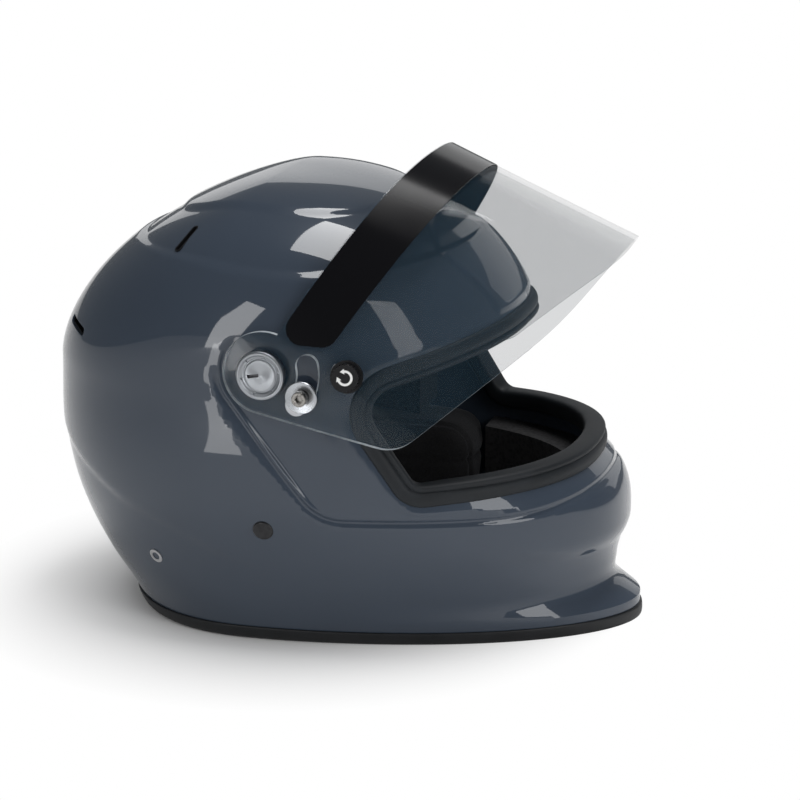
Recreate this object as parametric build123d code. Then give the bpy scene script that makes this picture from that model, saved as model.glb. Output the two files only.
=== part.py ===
from build123d import *
import math
import os

os.makedirs("parts", exist_ok=True)

# Auto racing helmet, full face, with a raised visor. Millimetres.
# x points to the front, y to the wearer's left, z up from the underside of the base trim.

# Shell form
crown_height = 261.0
belt_height = 153.0
belt_front = 149.5
belt_rear = 138.5
belt_half_width = 128.7
chin_reach = 66.5
chin_plan_height = 90.0
shell_wall = 3.0
shell_base = 2.5
front_dome_power = 2.05
rear_dome_power = 1.6
side_dome_power = 3.2
front_plan_power = 2.3
front_base_plan_power = 1.8
rear_plan_power = 2.13
level_shares = [0.0, 0.10, 0.23, 0.39, 0.555, 0.73, 1.0]
rear_shares = [0.65, 0.71, 0.81, 0.90, 0.965, 1.0, 1.0]
side_shares = [0.773, 0.812, 0.87, 0.94, 0.995, 1.018, 1.0]
chin_level_shares = [0.092, 0.157, 0.235, 0.314, 0.405, 0.555, 0.73, 0.93, 1.11, 1.27]
chin_shares = [1.0, 0.78, 0.777, 0.82, 0.88, 0.80, 0.406, 0.19, 0.015, 0.0]
low_section_shares = [0.0, 0.05, 0.092, 0.125, 0.157, 0.235, 0.314, 0.405, 0.52, 0.64, 0.76, 0.88, 1.0]
dome_shares = [0.13, 0.27, 0.41, 0.55, 0.68, 0.8, 0.89, 0.95, 0.985, 0.997]
head_section_shares = [0.14, 0.28, 0.43, 0.57, 0.72, 0.86, 1.0]
plan_point_count = 28
skirt = 6.0

# Eyeport, as corners of its side outline
brow_x, brow_z = 142.0, 186.2
port_rear_x, port_rear_z = 58.4, 161.1
port_low_x, port_low_z = 103.3, 94.0
chin_edge_x, chin_edge_z = 189.0, 99.0
port_rear_radius = 25.0
port_low_radius = 18.0
front_overrun = 60.0
side_overrun = 40.0
cut_overrun = 5.0

# Eyeport gasket
gasket_width = 11.0
gasket_proud = 2.2
gasket_depth = 12.0
gasket_channel = 5.0
gasket_chin_proud = 0.7
gasket_chin_wall = 13.0

# Visor pivot and sheet
pivot_x, pivot_z = 25.5, 169.5
visor_lift = 40.0
visor_half_width = 132.0
visor_wall = 3.0
visor_origin_x = 15.0
visor_low_z, visor_low_reach = 95.0, 187.0
visor_high_z, visor_high_reach = 210.0, 128.0
visor_plan_power = 2.3
visor_margin_z = 40.0
visor_tab_radius = 23.5
visor_corner_x, visor_corner_z = 57.7, 89.5
visor_corner_radius = 22.0
visor_low_edge_x = 165.0
visor_front_edge_x, visor_front_edge_z = 205.0, 98.5
visor_top_rear_x, visor_top_rear_z = 40.0, 179.5
visor_top_front_x, visor_top_front_z = 150.0, 213.0
seat_clearance = 1.6
seat_margin = 3.0
seat_groove_width = 5.0
seat_groove_depth = 1.4
strip_width = 27.0
strip_film = 0.4
strip_top_x = 41.6
strip_low_x, strip_low_z = 64.9, 157.5
strip_slope_share = 0.94
strip_corner_radius = 9.0
strip_edge_margin = 0.8

# Crown relief
crown_channel_depth = 2.0
crest_low_front, crest_low_rear, crest_low_side = 112.0, 84.0, 117.5
crest_high_front, crest_high_rear, crest_high_side = 72.0, 60.0, 79.0
crest_centre_x = 12.0
crest_floor_z = 205.0
brow_panel_proud = 1.2
brow_panel_x, brow_panel_z = 91.0, 192.0
brow_panel_half_width = 50.0

# Visor pivot hardware
bush_clearance = 0.1
head_clearance = 0.3
bush_radius = 5.9
bush_flange_radius = 11.0
bush_flange_height = 0.7
bush_bore = 3.1
bush_seat_gap = 0.05
pivot_head_radius = 14.0
pivot_head_height = 5.5
pivot_face_radius = 11.6
pivot_face_depth = 1.4
pivot_dimple_radius = 1.1
pivot_dimple_circle = 12.8
pivot_dimple_count = 6
coin_slot_length = 9.0
coin_slot_width = 1.6
coin_slot_x = 5.0
pivot_shank_radius = 3.0
insert_radius = 5.0
insert_flange_radius = 9.0
insert_flange_height = 2.5
insert_length = 6.0
insert_gap = 0.05
seat_core_reach = 60.0

# Visor stop in its curved slot
slot_radius = 25.5
slot_width = 12.5
stop_clearance = 0.15
stop_top_angle = -27.5
stop_span = 13.5
stop_rib_count = 7
stop_rib_depth = 0.5
stop_washer_radius = 9.25
stop_washer_height = 1.4
stop_head_radius = 4.3
stop_head_height = 4.2
stop_socket_width = 4.0
stop_shank_radius = 2.5

# Lock dial on the visor
dial_x, dial_z = 62.7, 139.5
bezel_radius = 9.2
bezel_height = 1.3
bezel_sleeve_radius = 6.2
bezel_bore_radius = 4.6
dial_radius = 7.7
dial_height = 4.6
dial_gap = 0.3
dial_shaft_radius = 4.5
dial_flute_count = 24
dial_flute_radius = 0.5
arrow_radius = 3.7
arrow_width = 1.3
arrow_relief = 0.25
arrow_pocket = 0.4
arrow_sweep = 250.0
arrow_start = -193.0
arrow_head = 3.0
arrow_tip_share = 0.8
hook_gap = 0.75
hook_height = 0.6
hook_hub_radius = 3.6
hook_inner_radius = 8.0
hook_outer_radius = 10.0
hook_start, hook_sweep = 100.0, 100.0
hook_web = 3.0
catch_angle = -128.7
catch_offset = 6.2
catch_radius = 1.4
catch_gap = 0.5
catch_depth = 7.0

# Vents in the crown and the rear
crown_vent_place = (-31.5, 96.5, 236.5)
crown_vent_run = (-7.5, 13.0, -12.3)
crown_vent_out = (-0.35, 0.5, 0.79)
crown_vent_length, crown_vent_width = 20.0, 4.6
rear_vent_place = (-107.5, 76.0, 175.5)
rear_vent_run = (17.0, 26.0, -2.4)
rear_vent_out = (-0.75, 0.55, 0.35)
rear_vent_length, rear_vent_width = 32.0, 5.0
vent_wall = 0.8
vent_sunk = 1.2
vent_depth = 12.0
liner_vent_depth = 45.0

# Strap rivets and anchor inserts
rivet_x, rivet_z = 22.2, 76.3
rivet_head_radius = 6.0
rivet_head_height = 1.8
rivet_shank_radius = 3.0
rivet_buck_radius = 5.0
rivet_buck_height = 1.5
rivet_edge = 1.2
rivet_play = 0.1
hanger_width, hanger_height, hanger_wall = 26.0, 30.0, 2.0
hanger_corner = 4.0
anchor_x, anchor_z = -50.0, 48.3
anchor_radius = 4.5
anchor_bore_radius = 2.5
anchor_length = 7.5
anchor_flange_radius = 9.0
anchor_flange_height = 2.0

# Base trim
trim_height = 8.5
trim_wall = 1.6

# Liners and pads
liner_gap = 0.2
liner_front, liner_rear, liner_side, liner_crown = 111.5, 102.5, 88.7, 223.0
liner_power = 2.2
liner_side_base = 92.0
liner_rear_base = 52.0
liner_face_x = 58.0
liner_step_x = -8.0
port_liner_gap = 1.0
pad_gap = 0.3
pad_thickness = 9.0
pad_channel_width = 4.0
pad_channel_depth = 3.0
crown_pad_base = 204.0
crown_pad_length, crown_pad_side = 62.0, 48.0
brow_pad_height = 17.0
brow_pad_base = 182.5
brow_pad_rear_x = 40.0
nape_pad_base, nape_pad_top = 112.0, 198.0
nape_pad_front_x = -34.0
chin_liner_front, chin_liner_side = 170.0, 100.0
chin_liner_base, chin_liner_top = 12.0, 85.0
chin_liner_rear_x = 99.0
cheek_front_x, cheek_rear_x = 96.0, 4.0
cheek_base, cheek_top, cheek_inset = 21.0, 91.5, 11.5
cheek_face_y = 58.0
cheek_shoulder_y = 68.0
cheek_back_y = 125.0
cheek_corner = 18.0
cheek_crown = 6.0
roll_inset = 8.5
roll_width, roll_base, roll_top = 18.0, 12.0, 51.7
roll_corner = 7.0
roll_first_angle = 95.0
roll_section_count = 13
roll_pinch = 1.5

# Chin strap
webbing_width, webbing_wall = 24.0, 1.6
strap_z = 8.0
strap_top_z = 60.0
strap_mid_z = 38.0
strap_elbow_z = 18.0
strap_elbow_inset = 8.0
strap_corner_run = 3.0
strap_bend = 6.0
strap_eye_radius = 4.2
right_strap_end_y = -41.0
left_strap_end_y = 6.0
ring_bar_y = -36.0
ring_bar_pitch = 3.8
ring_wire_radius = 1.7
ring_width, ring_reach = 30.0, 21.0
ring_corner = 3.0
ring_end_radius = 12.0
strap_pad_length, strap_pad_width, strap_pad_height = 36.0, 33.0, 8.0
strap_pad_inner_y = 47.0
strap_pad_shares = [0.0, 0.2, 0.8, 1.0]
strap_pad_taper_shares = [0.8, 1.0, 1.0, 0.8]


def through(places, values, at):
    """Smooth curve through the values, level at its last place."""
    at = min(max(at, places[0]), places[-1])
    last = len(places) - 1

    def slope(k):
        if k == last:
            return 0.0
        before = max(k - 1, 0)
        return (values[k + 1] - values[before]) / (places[k + 1] - places[before])

    k = max(i for i in range(last) if places[i] <= at)
    run = places[k + 1] - places[k]
    t = (at - places[k]) / run
    return ((1 + 2 * t) * (1 - t) ** 2 * values[k] + t * (1 - t) ** 2 * run * slope(k)
            + t * t * (3 - 2 * t) * values[k + 1] - t * t * (1 - t) * run * slope(k + 1))


def superellipse(front, rear, side, front_power, rear_power, count):
    """Points round a plan outline whose front and rear halves differ."""
    points = []
    for step in range(count):
        angle = 2 * math.pi * step / count
        c, s = math.cos(angle), math.sin(angle)
        reach, power = (front, front_power) if c >= 0 else (rear, rear_power)
        points.append((math.copysign(reach * abs(c) ** (2 / power), c),
                       math.copysign(side * abs(s) ** (2 / power), s)))
    return points


def chord_shares(points):
    """Share of the way round a closed outline at each of its points, and 1 at its end."""
    steps = [math.dist(points[k - 1], points[k]) for k in range(1, len(points))]
    steps.append(math.dist(points[-1], points[0]))
    return [sum(steps[:k]) / sum(steps) for k in range(len(points))] + [1.0]


belt_outline = superellipse(belt_front, belt_rear, belt_half_width, front_plan_power, rear_plan_power,
                            plan_point_count)


def ring_wire(points, z):
    """Smooth closed outline at height z, its points spaced as on the belt of the helmet."""
    return Wire([Edge.make_spline([Vector(x, y, z) for x, y in points], periodic=True,
                                  parameters=chord_shares(belt_outline))])


def dome_fall(rise, power):
    return max(0.0, 1 - rise ** power) ** (1 / power)


def form_outline(z, inset=0.0):
    """Plan outline of the helmet form at height z, drawn in by inset."""
    rise = max(0.0, (z - belt_height) / (crown_height - inset - belt_height))
    low = z / belt_height
    rear = through(level_shares, rear_shares, low) * belt_rear - inset
    side = through(level_shares, side_shares, low) * belt_half_width - inset
    chin = through(chin_level_shares, chin_shares, low) * chin_reach
    front = (belt_front - inset) * dome_fall(rise, front_dome_power) + chin
    blend = max(0.0, 1 - max(z, 0.0) / chin_plan_height)
    power = front_plan_power + (front_base_plan_power - front_plan_power) * blend
    return superellipse(front, rear * dome_fall(rise, rear_dome_power),
                        side * dome_fall(rise, side_dome_power),
                        power, rear_plan_power, plan_point_count)


def helmet_form(inset=0.0):
    """Closed solid of the helmet's outside, drawn in by inset on every side."""
    drop = skirt + inset
    heights = [-drop, -drop / 2] + [share * belt_height for share in low_section_shares]
    heights += [belt_height + share * (crown_height - inset - belt_height) for share in dome_shares]
    return Solid.make_loft([ring_wire(form_outline(z, inset), z) for z in heights])


def head_form(inset=0.0):
    """Closed solid of the head space, drawn in by inset."""
    top = liner_crown - inset
    front, rear, side = liner_front - inset, liner_rear - inset, liner_side - inset
    heights = [-skirt - inset] + [share * belt_height for share in head_section_shares]
    heights += [belt_height + share * (top - belt_height) for share in dome_shares]
    rings = []
    for z in heights:
        fall = dome_fall(max(0.0, (z - belt_height) / (top - belt_height)), liner_power)
        rings.append(ring_wire(superellipse(front * fall, rear * fall, side * fall, liner_power,
                                            liner_power, plan_point_count), z))
    return Solid.make_loft(rings)


def block(x0, x1, y0, y1, z0, z1):
    return Pos((x0 + x1) / 2, (y0 + y1) / 2, (z0 + z1) / 2) * Box(x1 - x0, y1 - y0, z1 - z0)


def side_prism(face):
    """A face drawn in x and z, carried right through the helmet from side to side."""
    return extrude(Plane.XZ * face, amount=visor_half_width + side_overrun, both=True)


def plan_prism(face, z0, z1):
    return extrude(Pos(0, 0, z0) * face, amount=z1 - z0, dir=(0, 0, 1))


def grown(face, by):
    """The face with its outline moved out by the given distance, or in if negative."""
    return offset(face, amount=by, kind=Kind.INTERSECTION if by < 0 else Kind.ARC)


def mirrored(shape):
    return mirror(shape, about=Plane.XZ)


def line_height(x0, z0, x1, z1, x):
    return z0 + (z1 - z0) * (x - x0) / (x1 - x0)


# Eyeport outline
front_x = belt_front + chin_reach + front_overrun
port_face = make_face(FilletPolyline(
    (front_x, line_height(port_rear_x, port_rear_z, brow_x, brow_z, front_x)),
    (port_rear_x, port_rear_z), (port_low_x, port_low_z),
    (front_x, line_height(port_low_x, port_low_z, chin_edge_x, chin_edge_z, front_x)),
    radius=[0, port_rear_radius, port_low_radius, 0], close=True))


# Visor sheet, drawn closed over the eyeport
def visor_reach(z):
    return line_height(visor_low_z, visor_low_reach, visor_high_z, visor_high_reach, z)


def visor_side(x, z):
    """Distance of the visor's outside from the middle plane."""
    ahead = max(0.0, x - visor_origin_x) / visor_reach(z)
    return visor_half_width * (1 - ahead ** visor_plan_power) ** (1 / visor_plan_power)


def visor_form(inset=0.0):
    """Closed solid whose curved front is the visor's outside, drawn in by inset."""
    slant = math.hypot(visor_low_reach - visor_high_reach, visor_high_z - visor_low_z)
    level_inset = inset * slant / (visor_high_z - visor_low_z)
    rear_x = -belt_rear
    quarter = plan_point_count // 2
    arc_shares = [k / (2 * quarter) for k in range(2 * quarter + 1)]
    rings = []
    for z in (visor_low_z - visor_margin_z, visor_high_z + visor_margin_z):
        half = superellipse(visor_reach(z) - level_inset, 0, visor_half_width - inset,
                            visor_plan_power, visor_plan_power, plan_point_count * 2)
        curve = [(x + visor_origin_x, y) for x, y in half[-quarter:] + half[:quarter + 1]]
        arc = Edge.make_spline([Vector(x, y, z) for x, y in curve], parameters=arc_shares)
        back = [Vector(rear_x, curve[-1][1], z), Vector(rear_x, curve[0][1], z)]
        rings.append(Wire([arc, Edge.make_line(arc @ 1, back[0]), Edge.make_line(back[0], back[1]),
                           Edge.make_line(back[1], arc @ 0)]))
    return Solid.make_loft(rings, ruled=True)


def tangent_rear():
    """Where the straight rear edge of the visor leaves its round pivot tab."""
    dx, dz = visor_corner_x - pivot_x, visor_corner_z - pivot_z
    away = math.atan2(dz, dx) - math.acos(visor_tab_radius / math.hypot(dx, dz))
    return pivot_x + visor_tab_radius * math.cos(away), pivot_z + visor_tab_radius * math.sin(away)


visor_face = make_face(FilletPolyline(
    tangent_rear(), (visor_corner_x, visor_corner_z), (visor_low_edge_x, visor_corner_z),
    (visor_front_edge_x, visor_front_edge_z), (front_x, visor_front_edge_z),
    (front_x, visor_top_front_z), (visor_top_front_x, visor_top_front_z),
    (visor_top_rear_x, visor_top_rear_z), (pivot_x, pivot_z),
    radius=[0, visor_corner_radius, visor_corner_radius, 0, 0, 0, 0, 0, 0], close=True))
visor_face += Pos(pivot_x, pivot_z) * Circle(visor_tab_radius)


def slot_face(width, first, last):
    """Curved slot about the visor pivot between two angles of its round ends."""
    centre = (pivot_x, pivot_z)
    arc = CenterArc(centre, slot_radius, first, last - first)
    return SlotArc(arc, width)


# Recesses of the shell, each widened with the inset so that the wall keeps its thickness
def crest_loop(front, rear, side):
    points = superellipse(front, rear + crest_centre_x, side, liner_power, liner_power, plan_point_count)
    return Edge.make_spline([Vector(x + crest_centre_x, y) for x, y in points], periodic=True)


def crest_ring(inset):
    outer = crest_loop(crest_low_front + inset, crest_low_rear + inset, crest_low_side + inset)
    inner = crest_loop(crest_high_front - inset, crest_high_rear - inset, crest_high_side - inset)
    return plan_prism(make_face(outer) - make_face(inner), crest_floor_z, crown_height + cut_overrun)


seat_face = grown(visor_face, seat_margin)
seat_groove = side_prism(grown(seat_face, seat_groove_width) - seat_face) & block(
    -belt_rear, front_x, -visor_half_width, visor_half_width, 0, pivot_z)


def skin(inset=0.0):
    """The helmet form with its visor seat, crown channel and brow panel, drawn in by inset."""
    seat = side_prism(grown(visor_face, seat_margin + inset)) - visor_form(
        visor_wall + seat_clearance + inset)
    channel = crest_ring(inset) - helmet_form(crown_channel_depth + inset)
    panel = helmet_form(inset - brow_panel_proud) & block(
        brow_panel_x + inset, front_x, inset - brow_panel_half_width, brow_panel_half_width - inset,
        brow_panel_z + inset, crown_height + cut_overrun)
    return helmet_form(inset).cut(seat, channel) + panel


outside = skin()
inside = skin(shell_wall)
liner_outside = skin(shell_wall + liner_gap)


def write(name, shape):
    export_step(shape, os.path.join("parts", name + ".step"))
    print(name, len(shape.solids()), round(shape.volume))


def side_y(x, z, inset=0.0):
    """Distance of the form from the middle plane, at a place on its side."""
    side = sorted(p for p in form_outline(z, inset) if p[1] >= 0)
    k = max(i for i in range(len(side) - 1) if side[i][0] <= x)
    share = (x - side[k][0]) / (side[k + 1][0] - side[k][0])
    return side[k][1] + share * (side[k + 1][1] - side[k][1])


def form_plane(x, z):
    """Plane on the right side of the form, its z pointing out of the helmet."""
    step = shell_wall
    dx = (side_y(x + step, z) - side_y(x - step, z)) / (2 * step)
    dz = (side_y(x, z + step) - side_y(x, z - step)) / (2 * step)
    return Plane(origin=(x, -side_y(x, z), z), x_dir=(1, -dx, 0), z_dir=(-dx, -1, -dz))


def side_disc(x, z, radius, y0, y1):
    """A round piece on the right side between two distances from the middle plane."""
    return Pos(x, -(y0 + y1) / 2, z) * Rot(90, 0, 0) * Cylinder(radius, abs(y1 - y0))


def standing(plane, radius, z0, z1):
    """A round piece square to a plane between two heights above it."""
    return plane * (Pos(0, 0, (z0 + z1) / 2) * Cylinder(radius, z1 - z0))


def vent(place, run, out, length, width, z0, z1):
    """A rounded slot on the right side, along the run, between two heights above the skin."""
    origin = Vector(place[0], -place[1], place[2])
    normal = Vector(out[0], -out[1], out[2]).normalized()
    plane = Plane(origin=origin + normal * z0, x_dir=(run[0], -run[1], run[2]), z_dir=normal)
    return extrude(plane * SlotOverall(length, width), amount=z1 - z0)


def near(shape, x, z, reach):
    """The part of a big solid around a place on the right side, to work on alone."""
    return shape & block(x - reach, x + reach, -front_x, -belt_half_width / 2, z - reach, z + reach)



def seat_side(x, z):
    """Distance of the visor seat from the middle plane."""
    return visor_side(x, z) - visor_wall - seat_clearance


seat_y = seat_side(pivot_x, pivot_z)
stop_angle = math.radians(stop_top_angle)
stop_x = pivot_x + slot_radius * math.cos(stop_angle)
stop_z = pivot_z + slot_radius * math.sin(stop_angle)
insert_end_y = seat_y - insert_length
stop_end_y = seat_side(stop_x, stop_z) - insert_length
rivet_plane = form_plane(rivet_x, rivet_z)
anchor_plane = form_plane(anchor_x, anchor_z)
crown_vent = (crown_vent_place, crown_vent_run, crown_vent_out)
rear_vent = (rear_vent_place, rear_vent_run, rear_vent_out)

# Outer shell
port_cut = side_prism(grown(port_face, -gasket_channel))
shell_cuts = [inside, port_cut, block(-front_x, front_x, -front_x, front_x, -skirt, shell_base),
              seat_groove - helmet_form(seat_groove_depth)]
shell_holes = [
    side_disc(pivot_x, pivot_z, insert_radius + insert_gap, visor_half_width, insert_end_y),
    side_disc(stop_x, stop_z, insert_radius + insert_gap, visor_half_width, stop_end_y),
    standing(rivet_plane, rivet_shank_radius + insert_gap, -vent_depth, cut_overrun),
    standing(anchor_plane, anchor_radius + insert_gap, -vent_depth, cut_overrun),
    vent(*crown_vent, crown_vent_length, crown_vent_width, -vent_depth, cut_overrun),
    vent(*rear_vent, rear_vent_length, rear_vent_width, -vent_depth, cut_overrun)]
shell = outside.cut(*shell_cuts, *shell_holes, *[mirrored(hole) for hole in shell_holes])
write("outer_shell", shell)

# Base trim, a channel that hugs the lower rim of the shell
rim_slab = block(-front_x, front_x, -front_x, front_x, 0, trim_height)
trim = (helmet_form(-trim_wall) & rim_slab) - helmet_form(shell_wall + trim_wall)
write("base_trim", trim - (shell & rim_slab))

# Eyeport gasket, an upright bead along the chin and a band round the rest
gasket_ring = side_prism(port_face - grown(port_face, -gasket_width)) & block(
    0, front_x, -front_x, front_x, 0, crown_height)
gasket_body = helmet_form(-gasket_proud) - helmet_form(gasket_depth)
chin_bead = (make_face(ring_wire(form_outline(chin_edge_z, -gasket_chin_proud), 0))
             - make_face(ring_wire(form_outline(chin_edge_z, gasket_chin_wall), 0)))
chin_bead = plan_prism(chin_bead, port_low_z - gasket_width, chin_edge_z + gasket_width + gasket_chin_wall)
gasket = ((gasket_body & gasket_ring) + (chin_bead & gasket_ring)) & visor_form(visor_wall + pad_gap)
write("eyeport_gasket", gasket - shell)

# Vent inserts
for name, place, length, width in (("crown_vent_inserts", crown_vent, crown_vent_length, crown_vent_width),
                                   ("rear_vent_inserts", rear_vent, rear_vent_length, rear_vent_width)):
    tube = vent(*place, length - 2 * insert_gap, width - 2 * insert_gap, -vent_depth, -vent_sunk)
    tube -= vent(*place, length - 2 * vent_wall, width - 2 * vent_wall, -vent_depth, cut_overrun)
    write(name, Compound(children=[tube, mirrored(tube)]))

# Impact liner
liner_cuts = [
    head_form(),
    block(liner_step_x, front_x, -front_x, front_x, -front_x, liner_side_base),
    block(-front_x, front_x, -front_x, front_x, -front_x, liner_rear_base),
    block(liner_face_x, front_x, -front_x, front_x, 0, brow_z - gasket_width),
    side_prism(grown(port_face, port_liner_gap))]
liner_pockets = [
    side_disc(pivot_x, pivot_z, insert_flange_radius + pad_gap, visor_half_width, insert_end_y - pad_gap),
    side_disc(stop_x, stop_z, insert_flange_radius + pad_gap, visor_half_width, stop_end_y - pad_gap),
    standing(anchor_plane, anchor_flange_radius + pad_gap, -anchor_length - pad_gap, 0),
    vent(*crown_vent, crown_vent_length + pad_gap, crown_vent_width + pad_gap, -liner_vent_depth, 0),
    vent(*rear_vent, rear_vent_length + pad_gap, rear_vent_width + pad_gap, -liner_vent_depth, 0)]
liner = liner_outside.cut(*liner_cuts, *liner_pockets, *[mirrored(pocket) for pocket in liner_pockets])
write("impact_liner", liner)

# Chin bar liner
chin_space = plan_prism(make_face(ring_wire(superellipse(
    chin_liner_front, chin_liner_front, chin_liner_side, front_plan_power, front_plan_power,
    plan_point_count), 0)), 0, crown_height)
chin_liner = helmet_form(shell_wall + pad_gap) & block(
    chin_liner_rear_x, front_x, -front_x, front_x, chin_liner_base, chin_liner_top)
write("chin_bar_liner", chin_liner - chin_space)

# Comfort pads on the liner
pad_shell = head_form(pad_gap) - head_form(pad_gap + pad_thickness)
pad_floor = head_form(pad_gap + pad_thickness - pad_channel_depth)


def channel(x0, x1, y0, y1, z0, z1):
    return block(x0, x1, y0, y1, z0, z1) & pad_floor


crown_pad = pad_shell & block(-crown_pad_length, crown_pad_length, -crown_pad_side, crown_pad_side,
                              crown_pad_base, crown_height)
for place in (-crown_pad_side / 3, crown_pad_side / 3):
    crown_pad -= channel(-front_x, front_x, place - pad_channel_width / 2, place + pad_channel_width / 2,
                         crown_pad_base, crown_height)
for place in (-crown_pad_length / 3, crown_pad_length / 3):
    crown_pad -= channel(place - pad_channel_width / 2, place + pad_channel_width / 2, -front_x, front_x,
                         crown_pad_base, crown_height)
write("crown_pad", crown_pad)

brow_pad = pad_shell & block(brow_pad_rear_x, front_x, -front_x, front_x, brow_pad_base,
                             brow_pad_base + brow_pad_height)
brow_pad -= channel(0, front_x, -pad_channel_width / 2, pad_channel_width / 2, 0, crown_height)
for place in (-brow_pad_rear_x, brow_pad_rear_x):
    brow_pad -= channel(0, front_x, place - pad_channel_width / 2, place + pad_channel_width / 2,
                        0, crown_height)
write("brow_pad", brow_pad)

nape_pad = pad_shell & block(-front_x, nape_pad_front_x, -front_x, front_x, nape_pad_base, nape_pad_top)
nape_pad -= channel(-front_x, 0, -pad_channel_width / 2, pad_channel_width / 2, 0, crown_height)
for level in (nape_pad_base + (nape_pad_top - nape_pad_base) / 3,
              nape_pad_top - (nape_pad_top - nape_pad_base) / 3):
    nape_pad -= channel(-front_x, 0, -front_x, front_x, level - pad_channel_width / 2,
                        level + pad_channel_width / 2)
write("nape_pad", nape_pad)

# Cheek pads
cheek_middle_x, cheek_middle_z = (cheek_front_x + cheek_rear_x) / 2, (cheek_base + cheek_top) / 2
cheek_rings = []
for y, drawn in ((cheek_back_y, 0), (cheek_shoulder_y, 0), (cheek_face_y + cheek_crown / 4, cheek_crown),
                 (cheek_face_y, 2 * cheek_crown)):
    outline = RectangleRounded(cheek_front_x - cheek_rear_x - 2 * drawn, cheek_top - cheek_base - 2 * drawn,
                               cheek_corner - drawn)
    cheek_rings.append(Plane(origin=(cheek_middle_x, -y, cheek_middle_z), x_dir=(1, 0, 0),
                             z_dir=(0, -1, 0)) * outline)
cheek = loft(cheek_rings[:2]) + loft(cheek_rings[1:])
cheek &= helmet_form(cheek_inset)
cheek_channel_z = cheek_base + (cheek_top - cheek_base) * 2 / 3
cheek -= block(0, cheek_front_x, -cheek_face_y - pad_channel_depth, 0,
               cheek_channel_z - pad_channel_width / 2, cheek_channel_z + pad_channel_width / 2)
write("cheek_pad_right", cheek)
write("cheek_pad_left", mirrored(cheek))


# Neck roll, sections carried round the back of the helmet
def roll_reach(turn, z, inset):
    """Distance of the form from the middle of the helmet, in a direction in plan."""
    low = z / belt_height
    rear = through(level_shares, rear_shares, low) * belt_rear - inset
    side = through(level_shares, side_shares, low) * belt_half_width - inset
    share = ((abs(math.cos(turn)) / rear) ** rear_plan_power
             + (abs(math.sin(turn)) / side) ** rear_plan_power)
    return share ** (-1 / rear_plan_power)


roll_rings = []
for step in range(roll_section_count):
    turn = math.radians(roll_first_angle + (360 - 2 * roll_first_angle) * step / (roll_section_count - 1))
    plane = Plane(origin=(0, 0, 0), x_dir=(math.cos(turn), math.sin(turn), 0),
                  z_dir=(math.sin(turn), -math.cos(turn), 0))
    pinch = roll_pinch if step in (0, roll_section_count - 1) else 0
    low, high = roll_base + pinch, roll_top - pinch
    near_inset, far_inset = roll_inset + pinch, roll_inset + roll_width - pinch
    corners = [(roll_reach(turn, high, far_inset), high), (roll_reach(turn, high, near_inset), high),
               (roll_reach(turn, low, near_inset), low), (roll_reach(turn, low, far_inset), low)]
    roll_rings.append(plane * make_face(FilletPolyline(*corners, radius=roll_corner, close=True)))
write("neck_roll", loft(roll_rings))

# Chin strap: hanger plates, rivets and webbing
def upright_box(plane, width, height, corner, z0, z1):
    """A rounded plate square to a plane of the form, its height going up the helmet."""
    face = Pos(0, 0, z0) * RectangleRounded(width, height, corner)
    return plane * extrude(face, amount=z1 - z0)


hanger = upright_box(rivet_plane, hanger_width, hanger_height, hanger_corner,
                     -shell_wall - hanger_wall, 0) & near(inside, rivet_x, rivet_z, hanger_height)
shank_hole = standing(rivet_plane, rivet_shank_radius + insert_gap, -vent_depth, cut_overrun)
hanger -= shank_hole
write("strap_hangers", Compound(children=[hanger, mirrored(hanger)]))

rivet_head = standing(rivet_plane, rivet_head_radius, 0, rivet_head_height)
rivet_head = fillet(rivet_head.edges().filter_by(GeomType.CIRCLE).sort_by(Axis.Y)[:1], rivet_edge)
rivet_stack = shell_wall + hanger_wall + webbing_wall + 2 * rivet_play
rivet = rivet_head - near(outside, rivet_x, rivet_z, hanger_height)
rivet += standing(rivet_plane, rivet_shank_radius, -rivet_stack - rivet_buck_height, rivet_edge)
rivet += standing(rivet_plane, rivet_buck_radius, -rivet_stack - rivet_buck_height, -rivet_stack)
write("strap_rivets", Compound(children=[rivet, mirrored(rivet)]))


def webbing(points, radii):
    """Webbing of even thickness along a path across the helmet, given on the right side."""
    line = FilletPolyline(*points, radius=radii)
    return extrude(Plane.YZ.offset(rivet_x) * trace(line, webbing_wall), amount=webbing_width / 2, both=True)


def hang(z, inset):
    """Place on the strap's path at height z, at an inset from the form's side."""
    return -side_y(rivet_x, z, inset), z


strap_inset = shell_wall + hanger_wall + webbing_wall / 2 + rivet_play
strap_drop = [hang(rivet_z + hanger_width / 2, strap_inset), hang(strap_top_z, strap_inset),
              hang(strap_mid_z, strap_inset + rivet_play), hang(strap_elbow_z, strap_elbow_inset)]
strap_corner = (strap_drop[-1][0] + strap_corner_run, strap_z)
for name, end_y in (("chin_strap_right", right_strap_end_y), ("chin_strap_left", left_strap_end_y)):
    path = strap_drop + [strap_corner, (end_y, strap_z)]
    strap = webbing(path, [strap_bend, strap_bend, strap_bend, strap_bend])
    strap = strap.cut(hanger, rivet, shank_hole)
    if end_y == right_strap_end_y:
        eye = Circle(strap_eye_radius + webbing_wall) - Circle(strap_eye_radius)
        strap += extrude(Plane.YZ.offset(rivet_x) * Pos(ring_bar_y, strap_z) * eye,
                         amount=webbing_width / 2, both=True)
        strap -= Pos(rivet_x, ring_bar_y, strap_z) * Rot(0, 90, 0) * Cylinder(strap_eye_radius, webbing_width)
        write(name, strap)
    else:
        write(name, mirrored(strap))

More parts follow.
